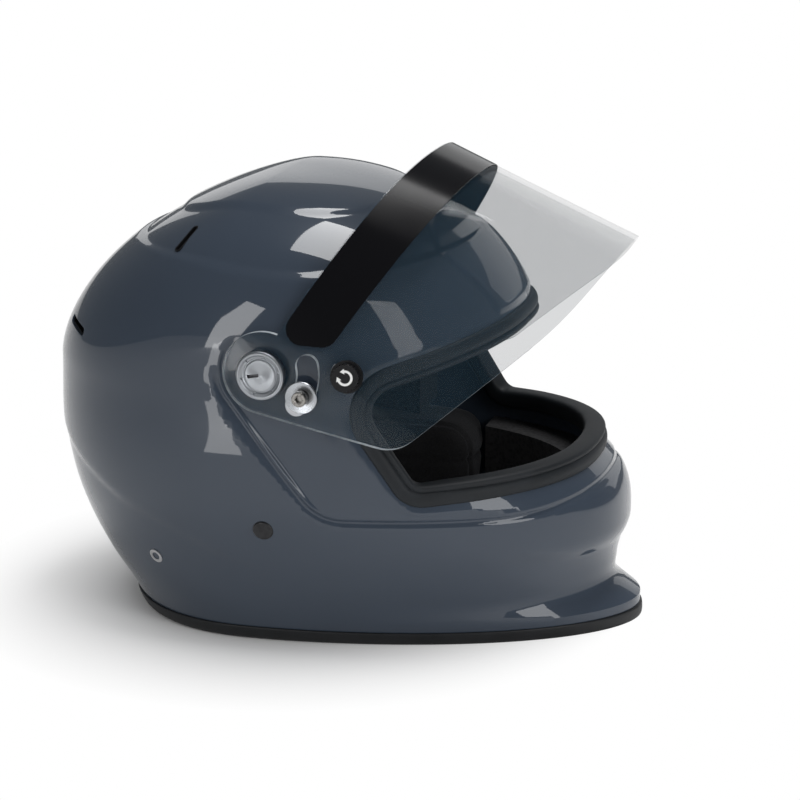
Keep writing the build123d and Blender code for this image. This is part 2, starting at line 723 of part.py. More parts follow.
# Strap pads, crowned sleeves round the level runs of the webbing
sleeve_rings = []
for share, taper in zip(strap_pad_shares, strap_pad_taper_shares):
    y = -strap_pad_inner_y - strap_pad_length * share
    plane = Plane(origin=(rivet_x, y, strap_z), x_dir=(1, 0, 0), z_dir=(0, -1, 0))
    sleeve_rings.append(plane * RectangleRounded(
        strap_pad_width - strap_pad_height * (1 - taper), strap_pad_height * taper,
        strap_pad_height * taper / 3))
sleeve = loft(sleeve_rings)
sleeve -= block(rivet_x - webbing_width / 2 - pad_gap, rivet_x + webbing_width / 2 + pad_gap, -front_x, 0,
                strap_z - webbing_wall / 2 - pad_gap, strap_z + webbing_wall / 2 + pad_gap)
write("strap_pad_right", sleeve)
write("strap_pad_left", mirrored(sleeve))

# Pair of D-rings, their straight bars stacked in the strap's eye
ring_rings = []
for level in (-ring_bar_pitch / 2, ring_bar_pitch / 2):
    base = Plane(origin=(rivet_x, ring_bar_y, strap_z + level), x_dir=(1, 0, 0), z_dir=(0, 0, 1))
    half = ring_width / 2
    loop_line = base * FilletPolyline((-half, 0), (half, 0), (half, ring_reach), (-half, ring_reach),
                                      radius=[ring_corner, ring_corner, ring_end_radius, ring_end_radius],
                                      close=True)
    start = Plane(origin=loop_line @ 0, z_dir=loop_line % 0)
    ring_rings.append(sweep(start * Circle(ring_wire_radius), path=loop_line))
write("d_rings", Compound(children=ring_rings))

# Anchor inserts for a head restraint
anchor = standing(anchor_plane, anchor_radius, -anchor_length, cut_overrun) & outside
anchor += standing(anchor_plane, anchor_flange_radius, -anchor_length, 0) & near(
    inside, anchor_x, anchor_z, hanger_height)
anchor -= standing(anchor_plane, anchor_flange_radius + anchor_radius, -anchor_length - cut_overrun,
                   -shell_wall - anchor_flange_height) - standing(
                       anchor_plane, anchor_radius, -anchor_length - cut_overrun, 0)
anchor -= standing(anchor_plane, anchor_bore_radius, -anchor_length - cut_overrun, cut_overrun)
write("anchor_inserts", Compound(children=[anchor, mirrored(anchor)]))

# Visor pivot: insert in the shell, bush on the seat, screw over the visor
side_outside = near(outside, pivot_x, pivot_z, seat_core_reach)
side_inside = near(inside, pivot_x, pivot_z, seat_core_reach)


def shell_insert(x, z, shank_radius):
    barrel = side_disc(x, z, insert_radius, visor_half_width, seat_side(x, z) - insert_length) & side_outside
    flange = side_disc(x, z, insert_flange_radius, visor_half_width,
                       seat_side(x, z) - shell_wall - insert_flange_height) & side_inside
    return barrel + flange - side_disc(x, z, shank_radius + insert_gap, visor_half_width + cut_overrun, 0)


def write_pair(name, shape):
    write(name + "_right", shape)
    write(name + "_left", mirrored(shape))


write_pair("pivot_insert", shell_insert(pivot_x, pivot_z, pivot_shank_radius))
sleeve_y = visor_half_width + head_clearance
flange_y = seat_y + bush_flange_height
bush = side_disc(pivot_x, pivot_z, bush_flange_radius, flange_y, insert_end_y)
bush += side_disc(pivot_x, pivot_z, bush_radius, sleeve_y, flange_y)
bush -= Pos(0, -bush_seat_gap, 0) * side_outside
bush -= side_disc(pivot_x, pivot_z, bush_bore, sleeve_y + cut_overrun, 0)
write_pair("pivot_bush", bush)

head_y = sleeve_y + pivot_head_height
screw = side_disc(pivot_x, pivot_z, pivot_head_radius, head_y, sleeve_y)
screw = chamfer(screw.edges().group_by(Axis.Y)[0], head_clearance)
screw -= side_disc(pivot_x, pivot_z, pivot_face_radius, head_y + cut_overrun, head_y - pivot_face_depth)
for step in range(pivot_dimple_count):
    angle = 2 * math.pi * step / pivot_dimple_count
    screw -= side_disc(pivot_x + pivot_dimple_circle * math.cos(angle),
                       pivot_z + pivot_dimple_circle * math.sin(angle),
                       pivot_dimple_radius, head_y + cut_overrun, head_y - pivot_face_depth / 2)
coin_slot = extrude(Plane.XZ.offset(head_y) * Pos(pivot_x - coin_slot_x, pivot_z) * SlotOverall(
    coin_slot_length, coin_slot_width, rotation=90), amount=-2 * pivot_face_depth)
screw -= coin_slot
screw += side_disc(pivot_x, pivot_z, pivot_shank_radius, sleeve_y, insert_end_y)
write_pair("pivot_screw", screw)

# Visor stop: a curved key on the shell that the visor's slot runs over
write_pair("stop_insert", shell_insert(stop_x, stop_z, stop_shank_radius))
stop_key = slot_face(slot_width - 2 * stop_clearance, stop_top_angle - stop_span, stop_top_angle)
key = extrude(Plane.XZ.offset(stop_end_y) * stop_key, amount=sleeve_y - stop_end_y,
              dir=(0, -1, 0)) - side_outside
key -= side_disc(stop_x, stop_z, stop_shank_radius + insert_gap, sleeve_y + cut_overrun, 0)
low_angle = math.radians(stop_top_angle - stop_span)
for step in range(stop_rib_count):
    place = (step - (stop_rib_count - 1) / 2) * slot_width / (stop_rib_count + 1)
    reach = slot_radius + place
    rib = Pos(pivot_x, 0, pivot_z) * Rot(0, -math.degrees(low_angle), 0) * Pos(
        reach, -sleeve_y, 0) * Box(stop_rib_depth, 2 * stop_rib_depth, slot_width)
    key -= rib
write_pair("stop_block", key)
washer = side_disc(stop_x, stop_z, stop_washer_radius, sleeve_y + stop_washer_height, sleeve_y)
washer -= side_disc(stop_x, stop_z, stop_shank_radius + insert_gap, sleeve_y + cut_overrun, 0)
write_pair("stop_washer", washer)
head_top = sleeve_y + stop_washer_height + stop_head_height
stop_screw = side_disc(stop_x, stop_z, stop_head_radius, head_top, sleeve_y + stop_washer_height)
stop_screw = chamfer(stop_screw.edges().group_by(Axis.Y)[0], head_clearance)
stop_screw -= extrude(Plane.XZ.offset(head_top) * Pos(stop_x, stop_z) * RegularPolygon(
    stop_socket_width / 2, 6, major_radius=False), amount=-stop_head_height / 2)
stop_screw += side_disc(stop_x, stop_z, stop_shank_radius, sleeve_y + stop_washer_height, stop_end_y)
write_pair("stop_screw", stop_screw)


# Visor, drawn closed and written raised
def raised(shape):
    return shape.rotate(Axis((pivot_x, 0, pivot_z), (0, 1, 0)), -visor_lift)


visor_outside = visor_form()
dial_step = shell_wall
dial_slope = (visor_side(dial_x + dial_step, dial_z) - visor_side(dial_x - dial_step, dial_z)) / (2 * dial_step)
dial_fall = (visor_side(dial_x, dial_z + dial_step) - visor_side(dial_x, dial_z - dial_step)) / (2 * dial_step)
dial_plane = Plane(origin=(dial_x, -visor_side(dial_x, dial_z), dial_z), x_dir=(1, -dial_slope, 0),
                   z_dir=(-dial_slope, -1, -dial_fall))
visor = (visor_outside - visor_form(visor_wall)) & side_prism(visor_face)
visor -= side_prism(Pos(pivot_x, pivot_z) * Circle(bush_radius + bush_clearance))
visor -= side_prism(slot_face(slot_width, stop_top_angle - stop_span - visor_lift, stop_top_angle))
visor -= standing(dial_plane, bezel_sleeve_radius + insert_gap, -visor_wall * 2, cut_overrun)
write("visor", raised(visor))

strip_slope = (visor_top_front_z - visor_top_rear_z) / (visor_top_front_x - visor_top_rear_x)
strip_top_front_z = visor_top_rear_z + strip_slope * (front_x - visor_top_rear_x) - strip_edge_margin
strip_face = make_face(FilletPolyline(
    (strip_top_x, visor_top_rear_z + strip_slope * (strip_top_x - visor_top_rear_x) - strip_edge_margin),
    (strip_low_x, strip_low_z),
    (front_x, strip_low_z + strip_slope * strip_slope_share * (front_x - strip_low_x)),
    (front_x, strip_top_front_z), radius=[strip_corner_radius, strip_corner_radius, 0, 0], close=True))
strip = (visor_form(-strip_film) & side_prism(strip_face)) - visor_outside
write("visor_strip", raised(strip))

# Lock dial: bezel in the visor, fluted cap, arrow inlay and hook behind the visor
bezel = standing(dial_plane, bezel_radius, -visor_wall, bezel_height) - visor_outside
bezel += standing(dial_plane, bezel_sleeve_radius, -visor_wall, bezel_height)
bezel -= standing(dial_plane, bezel_bore_radius, -visor_wall * 2, cut_overrun)
write("dial_bezel", raised(bezel))
cap_base = bezel_height + dial_gap
cap_top = cap_base + dial_height
cap = standing(dial_plane, dial_radius, cap_base, cap_top)
cap = chamfer(cap.edges().filter_by(GeomType.CIRCLE).sort_by(Axis.Y)[:1], dial_gap)
for step in range(dial_flute_count):
    angle = 2 * math.pi * step / dial_flute_count
    cap -= dial_plane * (Pos(dial_radius * math.cos(angle), dial_radius * math.sin(angle),
                             (cap_base + cap_top) / 2) * Cylinder(dial_flute_radius, 2 * dial_height))
cap += standing(dial_plane, dial_shaft_radius, -visor_wall - hook_gap, cap_base)
arrow_line = CenterArc((0, 0), arrow_radius, arrow_start, arrow_sweep)
arrow_face = trace(arrow_line, arrow_width)
for end, heading in ((arrow_start, -1), (arrow_start + arrow_sweep, 1)):
    tip = Pos(arrow_radius * math.cos(math.radians(end)), arrow_radius * math.sin(math.radians(end))) * Rot(
        0, 0, end + 90 * heading)
    arrow_face += tip * make_face(Polyline((0, -arrow_head / 2), (arrow_head * arrow_tip_share, 0),
                                           (0, arrow_head / 2), close=True))
cap -= dial_plane * plan_prism(grown(arrow_face, insert_gap), cap_top - arrow_pocket, cap_top + arrow_pocket)
write("lock_dial", raised(cap))
write("dial_arrow", raised(dial_plane * plan_prism(arrow_face, cap_top - arrow_pocket,
                                                   cap_top + arrow_relief)))
hook_top = -visor_wall - hook_gap
hook = standing(dial_plane, hook_hub_radius, hook_top - hook_height, hook_top)
arc_radius = (hook_inner_radius + hook_outer_radius) / 2
hook_face = trace(CenterArc((0, 0), arc_radius, hook_start, hook_sweep), hook_outer_radius - hook_inner_radius)
hook_turn = math.radians(hook_start)
hook_face += trace(Line((0, 0), (arc_radius * math.cos(hook_turn), arc_radius * math.sin(hook_turn))),
                   hook_web)
hook += dial_plane * plan_prism(hook_face, hook_top - hook_height, hook_top)
write("dial_hook", raised(hook))

# Catch post on the shell that the hook turns behind when the visor is closed
catch_place = Pos(catch_offset * math.cos(math.radians(catch_angle)),
                  catch_offset * math.sin(math.radians(catch_angle)), 0)
catch_top = -visor_wall - catch_gap
catch = dial_plane * catch_place * Pos(0, 0, (catch_top - catch_depth) / 2) * Cylinder(
    catch_radius, catch_depth + catch_top)
write("lock_catch", catch - near(outside, dial_x, dial_z, seat_core_reach))
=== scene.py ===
import math
import bmesh
import bpy
import numpy as np
from mathutils import Matrix, Quaternion, Vector


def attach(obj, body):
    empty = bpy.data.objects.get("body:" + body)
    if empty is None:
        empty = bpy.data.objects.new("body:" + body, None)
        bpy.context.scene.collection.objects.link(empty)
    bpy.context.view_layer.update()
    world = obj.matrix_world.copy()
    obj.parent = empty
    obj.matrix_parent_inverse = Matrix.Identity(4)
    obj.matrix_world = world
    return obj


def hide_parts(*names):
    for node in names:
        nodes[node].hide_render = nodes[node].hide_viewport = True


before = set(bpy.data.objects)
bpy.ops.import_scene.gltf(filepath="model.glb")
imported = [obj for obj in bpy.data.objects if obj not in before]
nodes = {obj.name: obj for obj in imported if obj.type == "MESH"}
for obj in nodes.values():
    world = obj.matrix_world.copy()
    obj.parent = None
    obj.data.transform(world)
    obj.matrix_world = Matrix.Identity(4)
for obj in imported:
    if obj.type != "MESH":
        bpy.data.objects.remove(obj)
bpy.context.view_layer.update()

# Outer shell. A laminated composite skin 3 mm thick with a sunk seat for the visor, a
# groove round it and a raised crown, all with soft edges, sprayed slate grey under clear
# lacquer. Lengths are in millimetres until a mesh is made.
MM = 0.001
CROWN, BELT = 261.0, 153.0
FRONT, REAR, SIDE, CHIN = 149.5, 138.5, 128.7, 66.5
FRONT_RISE, REAR_RISE, SIDE_RISE = 2.05, 1.6, 3.2
FRONT_PLAN, REAR_PLAN, CHIN_EASING, CHIN_TOP = 2.3, 2.13, 0.5, 90.0
SHELL_WALL, SHELL_BASE = 3.0, 2.5
LEVELS = (0.0, 0.10, 0.23, 0.39, 0.555, 0.73, 1.0)
REAR_SHARES = (0.65, 0.71, 0.81, 0.90, 0.965, 1.0, 1.0)
SIDE_SHARES = (0.773, 0.812, 0.87, 0.94, 0.995, 1.018, 1.0)
CHIN_LEVELS = (0.092, 0.157, 0.235, 0.314, 0.405, 0.555, 0.73, 0.93, 1.11, 1.27)
CHIN_SHARES = (1.0, 0.78, 0.777, 0.82, 0.88, 0.80, 0.406, 0.19, 0.015, 0.0)
PIVOT, TAB_RADIUS, BEARING_RADIUS = (25.5, 169.5), 23.5, 6.0
STOP_RADIUS, STOP_TURN, STOP_END, STOP_SLOT = 25.5, -27.5, -81.2, 12.5
DIAL, DIAL_RADIUS = (62.7, 139.5), 6.25
VISOR_LIFT = math.radians(40)
VISOR_SIDE, VISOR_MIDDLE, VISOR_POWER, VISOR_WALL = 132.0, 15.0, 2.3, 3.0
VISOR_LEVELS, VISOR_REACHES = (95.0, 210.0), (187.0, 128.0)
SEAT_GAP, SEAT_MARGIN, SEAT_FROM = 1.6, 3.0, 40
GROOVE_DEPTH, GROOVE_WIDTH = 1.5, 6.4
CREST_MIDDLE, CREST_POWER, CREST_STEP = 12.0, 2.2, 1.9
OUTER_CREST, INNER_CREST = (112, 84, 117.5), (72, 60, 79)
PANEL_STEP, REAR_CREASE, CHIN_CREASE = 1.3, 1.1, 0.8
LIP_RISE, LIP_PLACE, LIP_WIDTH = 0.9, 4.5, 2.2


def through(places, values, at):
    """Smooth curve through the values, level at its last place, as in the part's source."""
    places, values = np.array(places), np.array(values)
    at = np.clip(at, places[0], places[-1])
    slopes = np.zeros(len(places))
    slopes[0] = (values[1] - values[0]) / (places[1] - places[0])
    slopes[1:-1] = (values[2:] - values[:-2]) / (places[2:] - places[:-2])
    k = np.clip(np.searchsorted(places, at, side="right") - 1, 0, len(places) - 2)
    run = places[k + 1] - places[k]
    t = (at - places[k]) / run
    return ((1 + 2 * t) * (1 - t) ** 2 * values[k] + t * (1 - t) ** 2 * run * slopes[k]
            + t * t * (3 - 2 * t) * values[k + 1] - t * t * (1 - t) * run * slopes[k + 1])


def falloff(share, power):
    """How far a rounded outline still stands out at a share of its reach."""
    return (1 - share ** power) ** (1 / power)


def bowed(wave, power):
    """A sine or cosine pushed out towards the corners of a squarer round."""
    return np.sign(wave) * np.abs(wave) ** (2 / power)


def reaches(z, inset=0.0):
    """Front, rear and side reach of the helmet's form at height z, and its front power."""
    rise = np.clip((z - BELT) / (CROWN - inset - BELT), 0, 1)
    low = z / BELT
    chin = through(CHIN_LEVELS, CHIN_SHARES, low) * CHIN
    front = (FRONT - inset) * falloff(rise, FRONT_RISE) + chin
    rear = (through(LEVELS, REAR_SHARES, low) * REAR - inset) * falloff(rise, REAR_RISE)
    side = (through(LEVELS, SIDE_SHARES, low) * SIDE - inset) * falloff(rise, SIDE_RISE)
    power = FRONT_PLAN - CHIN_EASING * np.clip(1 - z / CHIN_TOP, 0, 1)
    return front, rear, side, power


def form_point(z, turn, inset=0.0):
    """Points on the form at heights z and plan turns, inset from its outside."""
    front, rear, side, power = reaches(z, inset)
    c, s = np.cos(turn), np.sin(turn)
    power = np.where(c >= 0, power, REAR_PLAN)
    x = np.where(c >= 0, front, rear) * bowed(c, power)
    return np.stack([x, side * bowed(s, power), z + 0 * turn], -1)


def form_side(x, z, inset=0.0):
    """Distance of the form from the middle plane."""
    front, rear, side, power = reaches(z, inset)
    share = np.clip(np.abs(x) / np.where(x >= 0, front, rear), 0, 1)
    return side * falloff(share, np.where(x >= 0, power, REAR_PLAN))


def visor_reach(z):
    """How far the visor's round reaches ahead of its middle at height z."""
    low, high = VISOR_LEVELS
    return VISOR_REACHES[0] - (VISOR_REACHES[0] - VISOR_REACHES[1]) * (z - low) / (high - low)


def visor_side(x, z, inset=0.0):
    """Distance of the visor's outside from the middle plane, with the visor closed."""
    ahead = np.clip((x - VISOR_MIDDLE) / (visor_reach(z) - inset), 0, 1)
    return (VISOR_SIDE - inset) * falloff(ahead, VISOR_POWER)


def rounded(corners, radii, arc_steps=10):
    """Outline through the corners, each turned into an arc of its radius."""
    points = []
    for k, corner in enumerate(corners):
        here = np.array(corner, float)
        if not radii[k]:
            points.append(here)
            continue
        back = np.array(corners[k - 1], float) - here
        ahead = np.array(corners[(k + 1) % len(corners)], float) - here
        back /= np.linalg.norm(back)
        ahead /= np.linalg.norm(ahead)
        half = math.acos(np.clip(back @ ahead, -1, 1)) / 2
        centre = here + (back + ahead) / np.linalg.norm(back + ahead) * radii[k] / math.sin(half)
        first = here + back * radii[k] / math.tan(half) - centre
        last = here + ahead * radii[k] / math.tan(half) - centre
        for share in np.linspace(0, 1, arc_steps + 1):
            step = first * (1 - share) + last * share
            points.append(centre + step / np.linalg.norm(step) * radii[k])
    return np.array(points)


def inside_by(outline, x, z):
    """Distance inside a closed outline, negative outside it."""
    shape, x, z = np.shape(x), np.ravel(x), np.ravel(z)
    nearest = np.full(len(x), 1e9)
    crossings = np.zeros(len(x), int)
    for (ax, az), (bx, bz) in zip(outline, np.roll(outline, -1, 0)):
        along = ((x - ax) * (bx - ax) + (z - az) * (bz - az)) / ((bx - ax) ** 2 + (bz - az) ** 2 + 1e-12)
        along = np.clip(along, 0, 1)
        nearest = np.minimum(nearest, np.hypot(x - ax - along * (bx - ax), z - az - along * (bz - az)))
        spans = (az > z) != (bz > z)
        crossings += spans & (x < (bx - ax) * (z - az) / (bz - az + 1e-12) + ax)
    return np.where(crossings % 2 == 1, nearest, -nearest).reshape(shape)


def ease(value, start, end):
    """0 before start, 1 after end, and a smooth rise between."""
    t = np.clip((value - start) / (end - start), 0, 1)
    return t * t * (3 - 2 * t)


PORT = rounded([(276.0, 226.4), (58.4, 161.1), (103.3, 94.0), (276.0, 104.1)], [0, 25.0, 18.0, 0])
tab_turns = np.radians(np.linspace(30, 215, 40))
VISOR_OUTLINE = np.vstack([
    rounded([(7.0, 155.1), (57.7, 89.5), (165.0, 89.5), (205.0, 98.5), (279.0, 98.5), (279.0, 213.0),
             (150.0, 213.0)], [0, 22.0, 150.0, 0, 0, 0, 0]),
    np.stack([PIVOT[0] + TAB_RADIUS * np.cos(tab_turns), PIVOT[1] + TAB_RADIUS * np.sin(tab_turns)], -1)])
BROW_PANEL = np.array([(90, -8), (93, -24), (104, -48), (112, -50), (150, -34), (150, 34), (112, 50),
                       (104, 48), (93, 24), (90, 8)], float)


def crest(x, y, front, rear, side):
    """Distance inside a crest line of the crown, measured in plan."""
    ahead = x - CREST_MIDDLE
    reach = np.where(ahead >= 0, front - CREST_MIDDLE, rear + CREST_MIDDLE)
    share = ((np.abs(ahead) / reach) ** CREST_POWER + (np.abs(y) / side) ** CREST_POWER) ** (1 / CREST_POWER)
    return np.hypot(ahead, y) * (1 / np.maximum(share, 1e-6) - 1)


def relief(place, normal):
    """Moves points of the plain form into the shell's seat, grooves, creases and crown."""
    x, y, z = place.T
    side = np.sign(y)
    seat = inside_by(VISOR_OUTLINE, x, z) + SEAT_MARGIN
    over = np.abs(y) - visor_side(x, z, VISOR_WALL + SEAT_GAP)
    sunk = np.maximum(over, 0) * ease(seat, -1.0, 1.5) * (np.abs(y) > SEAT_FROM)
    groove = GROOVE_DEPTH * np.cos(np.pi * np.clip((seat + GROOVE_WIDTH / 2) / GROOVE_WIDTH, -0.5, 0.5)) ** 2
    groove *= ease(z, 172, 164) * ease(x, -12, 0) * (x < 290)
    crown = CREST_STEP * ease(crest(x, y, *OUTER_CREST), -2.0, 3.0) * (
        1 - ease(crest(x, y, *INNER_CREST), -5.0, 3.0)) * (z > 195)
    panel = PANEL_STEP * ease(inside_by(BROW_PANEL, x, y), -0.8, 1.2) * (z > 190)
    rear_line = np.interp(x, [-140, -117, -70, -33, -6, 19], [118, 106, 83, 71, 58, 50])
    rear_crease = REAR_CREASE * ease(z, rear_line + 1.5, rear_line - 2.5) * ease(
        z, rear_line - 45, rear_line - 8) * ease(x, 30, 5)
    chin_line = np.interp(x, [150, 157, 184, 215], [63, 61.5, 53, 50])
    chin_crease = CHIN_CREASE * ease(z, chin_line + 1.5, chin_line - 2.0) * ease(
        z, chin_line - 25, chin_line - 6) * ease(x, 145, 165)
    lip = LIP_RISE * np.exp(-((inside_by(PORT, x, z) + LIP_PLACE) / LIP_WIDTH) ** 2)
    lip *= ease(x, 150, 120) * ease(np.abs(y), 40, 60)
    moved = place + normal * (panel + lip - groove - crown - rear_crease - chin_crease)[:, None]
    moved[:, 1] -= side * sunk
    return moved


def grid_shell(rows, columns, inset, base, below_share=0.44, top_share=0.992):
    """Closed body of the form: rings from base to crown, capped above and below."""
    below = np.linspace(base, BELT, int(rows * below_share), endpoint=False)
    above = BELT + (CROWN - inset - BELT) * np.sin(np.pi / 2 * np.linspace(
        0, 2 / np.pi * math.asin(top_share) + 0.05, rows - len(below)).clip(0, 1))
    heights = np.unique(np.append(below, np.minimum(above, CROWN - inset - 0.02)))
    turns = np.linspace(0, 2 * np.pi, columns, endpoint=False)
    z, turn = np.meshgrid(heights, turns, indexing="ij")
    points = form_point(z, turn, inset).reshape(-1, 3)
    rings = len(heights)
    index = np.arange(rings * columns).reshape(rings, columns)
    after = np.roll(index, -1, 1)
    faces = np.stack([index[:-1], after[:-1], after[1:], index[1:]], -1).reshape(-1, 4).tolist()
    points = np.vstack([points, [[0, 0, CROWN - inset]]])
    faces += [[index[-1, k], after[-1, k], len(points) - 1] for k in range(columns)]
    faces.append(index[0, ::-1].tolist())
    return points, faces


def linked(name, data):
    """A new object in the scene, at the origin."""
    piece = bpy.data.objects.new(name, data)
    bpy.context.scene.collection.objects.link(piece)
    return piece


def mesh_object(name, points, faces, scale=MM):
    """A mesh object from points in millimetres and faces."""
    mesh = bpy.data.meshes.new(name)
    mesh.from_pydata((np.asarray(points, float) * scale).tolist(), [], faces)
    mesh.update()
    return linked(name, mesh)


def ring_faces(rings, count):
    """Faces between rings of points, closed round each ring and from the last to the first."""
    return [[r * count + k, r * count + (k + 1) % count, (r + 1) % rings * count + (k + 1) % count,
             (r + 1) % rings * count + k] for r in range(rings) for k in range(count)]


def prism_faces(count):
    """Side faces and both ends between two outlines of as many points."""
    sides = [[k, (k + 1) % count, count + (k + 1) % count, count + k] for k in range(count)]
    return sides + [list(range(count))[::-1], list(range(count, 2 * count))]


def paint(piece, material):
    """Gives a piece one material in place of any it has."""
    piece.data.materials.clear()
    piece.data.materials.append(material)


def settle(piece):
    """Applies a piece's modifiers to its mesh."""
    bpy.context.view_layer.update()
    evaluated = piece.evaluated_get(bpy.context.evaluated_depsgraph_get())
    mesh = bpy.data.meshes.new_from_object(evaluated)
    piece.modifiers.clear()
    piece.data = mesh


def rounder(piece):
    """Splits a piece's faces once, into a smoother form."""
    finer = piece.modifiers.new("finer", "SUBSURF")
    finer.levels = finer.render_levels = 1
    settle(piece)


def carve(piece, tool, operation="DIFFERENCE"):
    """Cuts a piece with another closed body, or keeps what they share, and removes the tool."""
    cut = piece.modifiers.new("carve", "BOOLEAN")
    cut.operation, cut.solver, cut.object = operation, "MANIFOLD", tool
    settle(piece)
    bpy.data.objects.remove(tool)


def across(name, outline, reach=170.0, shift=0.0):
    """A closed side outline carried through the helmet from side to side."""
    count = len(outline)
    points = np.vstack([np.stack([outline[:, 0], np.full(count, y + shift), outline[:, 1]], -1)
                        for y in (-reach, reach)])
    piece = mesh_object(name, points, prism_faces(count))
    outward(piece)
    return piece


def outward(piece):
    """Turns all faces of a closed piece outwards."""
    bm = bmesh.new()
    bm.from_mesh(piece.data)
    bmesh.ops.recalc_face_normals(bm, faces=bm.faces)
    bm.to_mesh(piece.data)
    bm.free()


def grown(outline, by):
    """The outline moved outwards by a distance, for a smooth or convex outline."""
    before, after = np.roll(outline, 1, 0), np.roll(outline, -1, 0)
    first, second = outline - before, after - outline
    first /= np.maximum(np.linalg.norm(first, axis=1, keepdims=True), 1e-9)
    second /= np.maximum(np.linalg.norm(second, axis=1, keepdims=True), 1e-9)
    area = np.sum(outline[:, 0] * after[:, 1] - after[:, 0] * outline[:, 1])
    way = 1 if area > 0 else -1
    left = np.stack([first[:, 1], -first[:, 0]], -1) * way
    right = np.stack([second[:, 1], -second[:, 0]], -1) * way
    middle = left + right
    return outline + middle * by / np.maximum((middle * left).sum(1, keepdims=True), 0.3)


def smooth(piece, angle=35):
    """Smooth shading with creases only at edges sharper than the angle."""
    piece.data.shade_smooth()
    piece.data.set_sharp_from_angle(angle=math.radians(angle))


def clean(piece, gap=2e-5):
    """Merges doubled points and drops sliver faces left by carving."""
    bm = bmesh.new()
    bm.from_mesh(piece.data)
    bmesh.ops.remove_doubles(bm, verts=bm.verts, dist=gap)
    bmesh.ops.dissolve_degenerate(bm, edges=bm.edges, dist=gap)
    bm.to_mesh(piece.data)
    bm.free()


def finer_near(points, faces, tests):
    """Splits the grid's faces once for each test, where that says a crease runs."""
    mesh = bpy.data.meshes.new("blank")
    mesh.from_pydata(points.tolist(), [], faces)
    bm = bmesh.new()
    bm.from_mesh(mesh)
    for close in tests:
        bm.verts.index_update()
        wanted = close(np.array([v.co for v in bm.verts]))
        edges = [e for e in bm.edges if wanted[e.verts[0].index] and wanted[e.verts[1].index]]
        bmesh.ops.subdivide_edges(bm, edges=edges, cuts=1, use_grid_fill=True)
    bmesh.ops.triangulate(bm, faces=[f for f in bm.faces if len(f.verts) > 4])
    bm.normal_update()
    bm.to_mesh(mesh)
    bm.free()
    count = len(mesh.vertices)
    place, normal = np.empty(count * 3), np.empty(count * 3)
    mesh.vertices.foreach_get("co", place)
    mesh.vertex_normals.foreach_get("vector", normal)
    faces = [list(p.vertices) for p in mesh.polygons]
    bpy.data.meshes.remove(mesh)
    return place.reshape(-1, 3), normal.reshape(-1, 3), faces


def node_material(name, colour, roughness, **sockets):
    """A material with its shader's own sockets set, ready for a pattern of nodes."""
    material = bpy.data.materials.new(name)
    material.use_nodes = True
    shader = material.node_tree.nodes["Principled BSDF"]
    shader.inputs["Base Color"].default_value = (*colour, 1)
    shader.inputs["Roughness"].default_value = roughness
    for socket, value in sockets.items():
        shader.inputs[socket.replace("_", " ")].default_value = value
    return material


WAVE_PERIOD = 0.31  # of a wave texture at a scale of 1, in metres


def object_place(tree):
    """The material's Object coordinates, from its one coordinate node."""
    place = next((n for n in tree.nodes if n.type == "TEX_COORD"), None)
    return (place or tree.nodes.new("ShaderNodeTexCoord")).outputs["Object"]


def pattern(material, kind, scale, **settings):
    """A texture node on Object coordinates. Lengths are in metres."""
    tree = material.node_tree
    place = object_place(tree)
    texture = tree.nodes.new(kind)
    texture.inputs["Scale"].default_value = scale
    for socket, value in settings.items():
        texture.inputs[socket.replace("_", " ")].default_value = value
    tree.links.new(place, texture.inputs["Vector"])
    return texture


def tint(material, factor, dark, light, low=0.3, high=0.7):
    """Drives the base colour from a pattern, between two colours."""
    tree = material.node_tree
    ramp = tree.nodes.new("ShaderNodeValToRGB")
    ramp.color_ramp.elements[0].position, ramp.color_ramp.elements[1].position = low, high
    ramp.color_ramp.elements[0].color = (*dark, 1)
    ramp.color_ramp.elements[1].color = (*light, 1)
    tree.links.new(factor, ramp.inputs["Fac"])
    tree.links.new(ramp.outputs["Color"], tree.nodes["Principled BSDF"].inputs["Base Color"])


def range_of(material, factor, socket, low, high):
    """Drives one number of the shader from a pattern."""
    tree = material.node_tree
    spread = tree.nodes.new("ShaderNodeMapRange")
    spread.inputs["To Min"].default_value, spread.inputs["To Max"].default_value = low, high
    tree.links.new(factor, spread.inputs["Value"])
    tree.links.new(spread.outputs["Result"], tree.nodes["Principled BSDF"].inputs[socket])


def bump(material, height, strength, distance):
    """Adds a pattern to the surface as a bump, over any bump that is there already."""
    tree = material.node_tree
    node = tree.nodes.new("ShaderNodeBump")
    node.inputs["Strength"].default_value = strength
    node.inputs["Distance"].default_value = distance
    tree.links.new(height, node.inputs["Height"])
    target = tree.nodes["Principled BSDF"].inputs["Normal"]
    if target.is_linked:
        tree.links.new(target.links[0].from_socket, node.inputs["Normal"])
    tree.links.new(node.outputs["Normal"], target)


def flecked(name, colour, roughness, scale, detail, shades=None, gloss=None, **sockets):
    """A material whose colour or roughness drifts between two values with a fine noise."""
    material = node_material(name, colour, roughness, **sockets)
    noise = pattern(material, "ShaderNodeTexNoise", scale, Detail=detail).outputs["Fac"]
    if shades:
        tint(material, noise, *shades)
    if gloss:
        range_of(material, noise, "Roughness", *gloss)
    return material


lacquer = node_material("slate_lacquer", (0.040, 0.053, 0.075), 0.40, Specular_IOR_Level=0.05,
                        Coat_Weight=1.0, Coat_Roughness=0.035, Coat_IOR=1.5)
flake = pattern(lacquer, "ShaderNodeTexNoise", 900.0, Detail=2.0)
cloud = pattern(lacquer, "ShaderNodeTexNoise", 7.0, Detail=3.0)
tint(lacquer, cloud.outputs["Fac"], (0.037, 0.050, 0.071), (0.043, 0.057, 0.080))
range_of(lacquer, flake.outputs["Fac"], "Roughness", 0.28, 0.42)
peel = pattern(lacquer, "ShaderNodeTexNoise", 260.0, Detail=1.0)
bump(lacquer, peel.outputs["Fac"], 0.03, 0.0002)


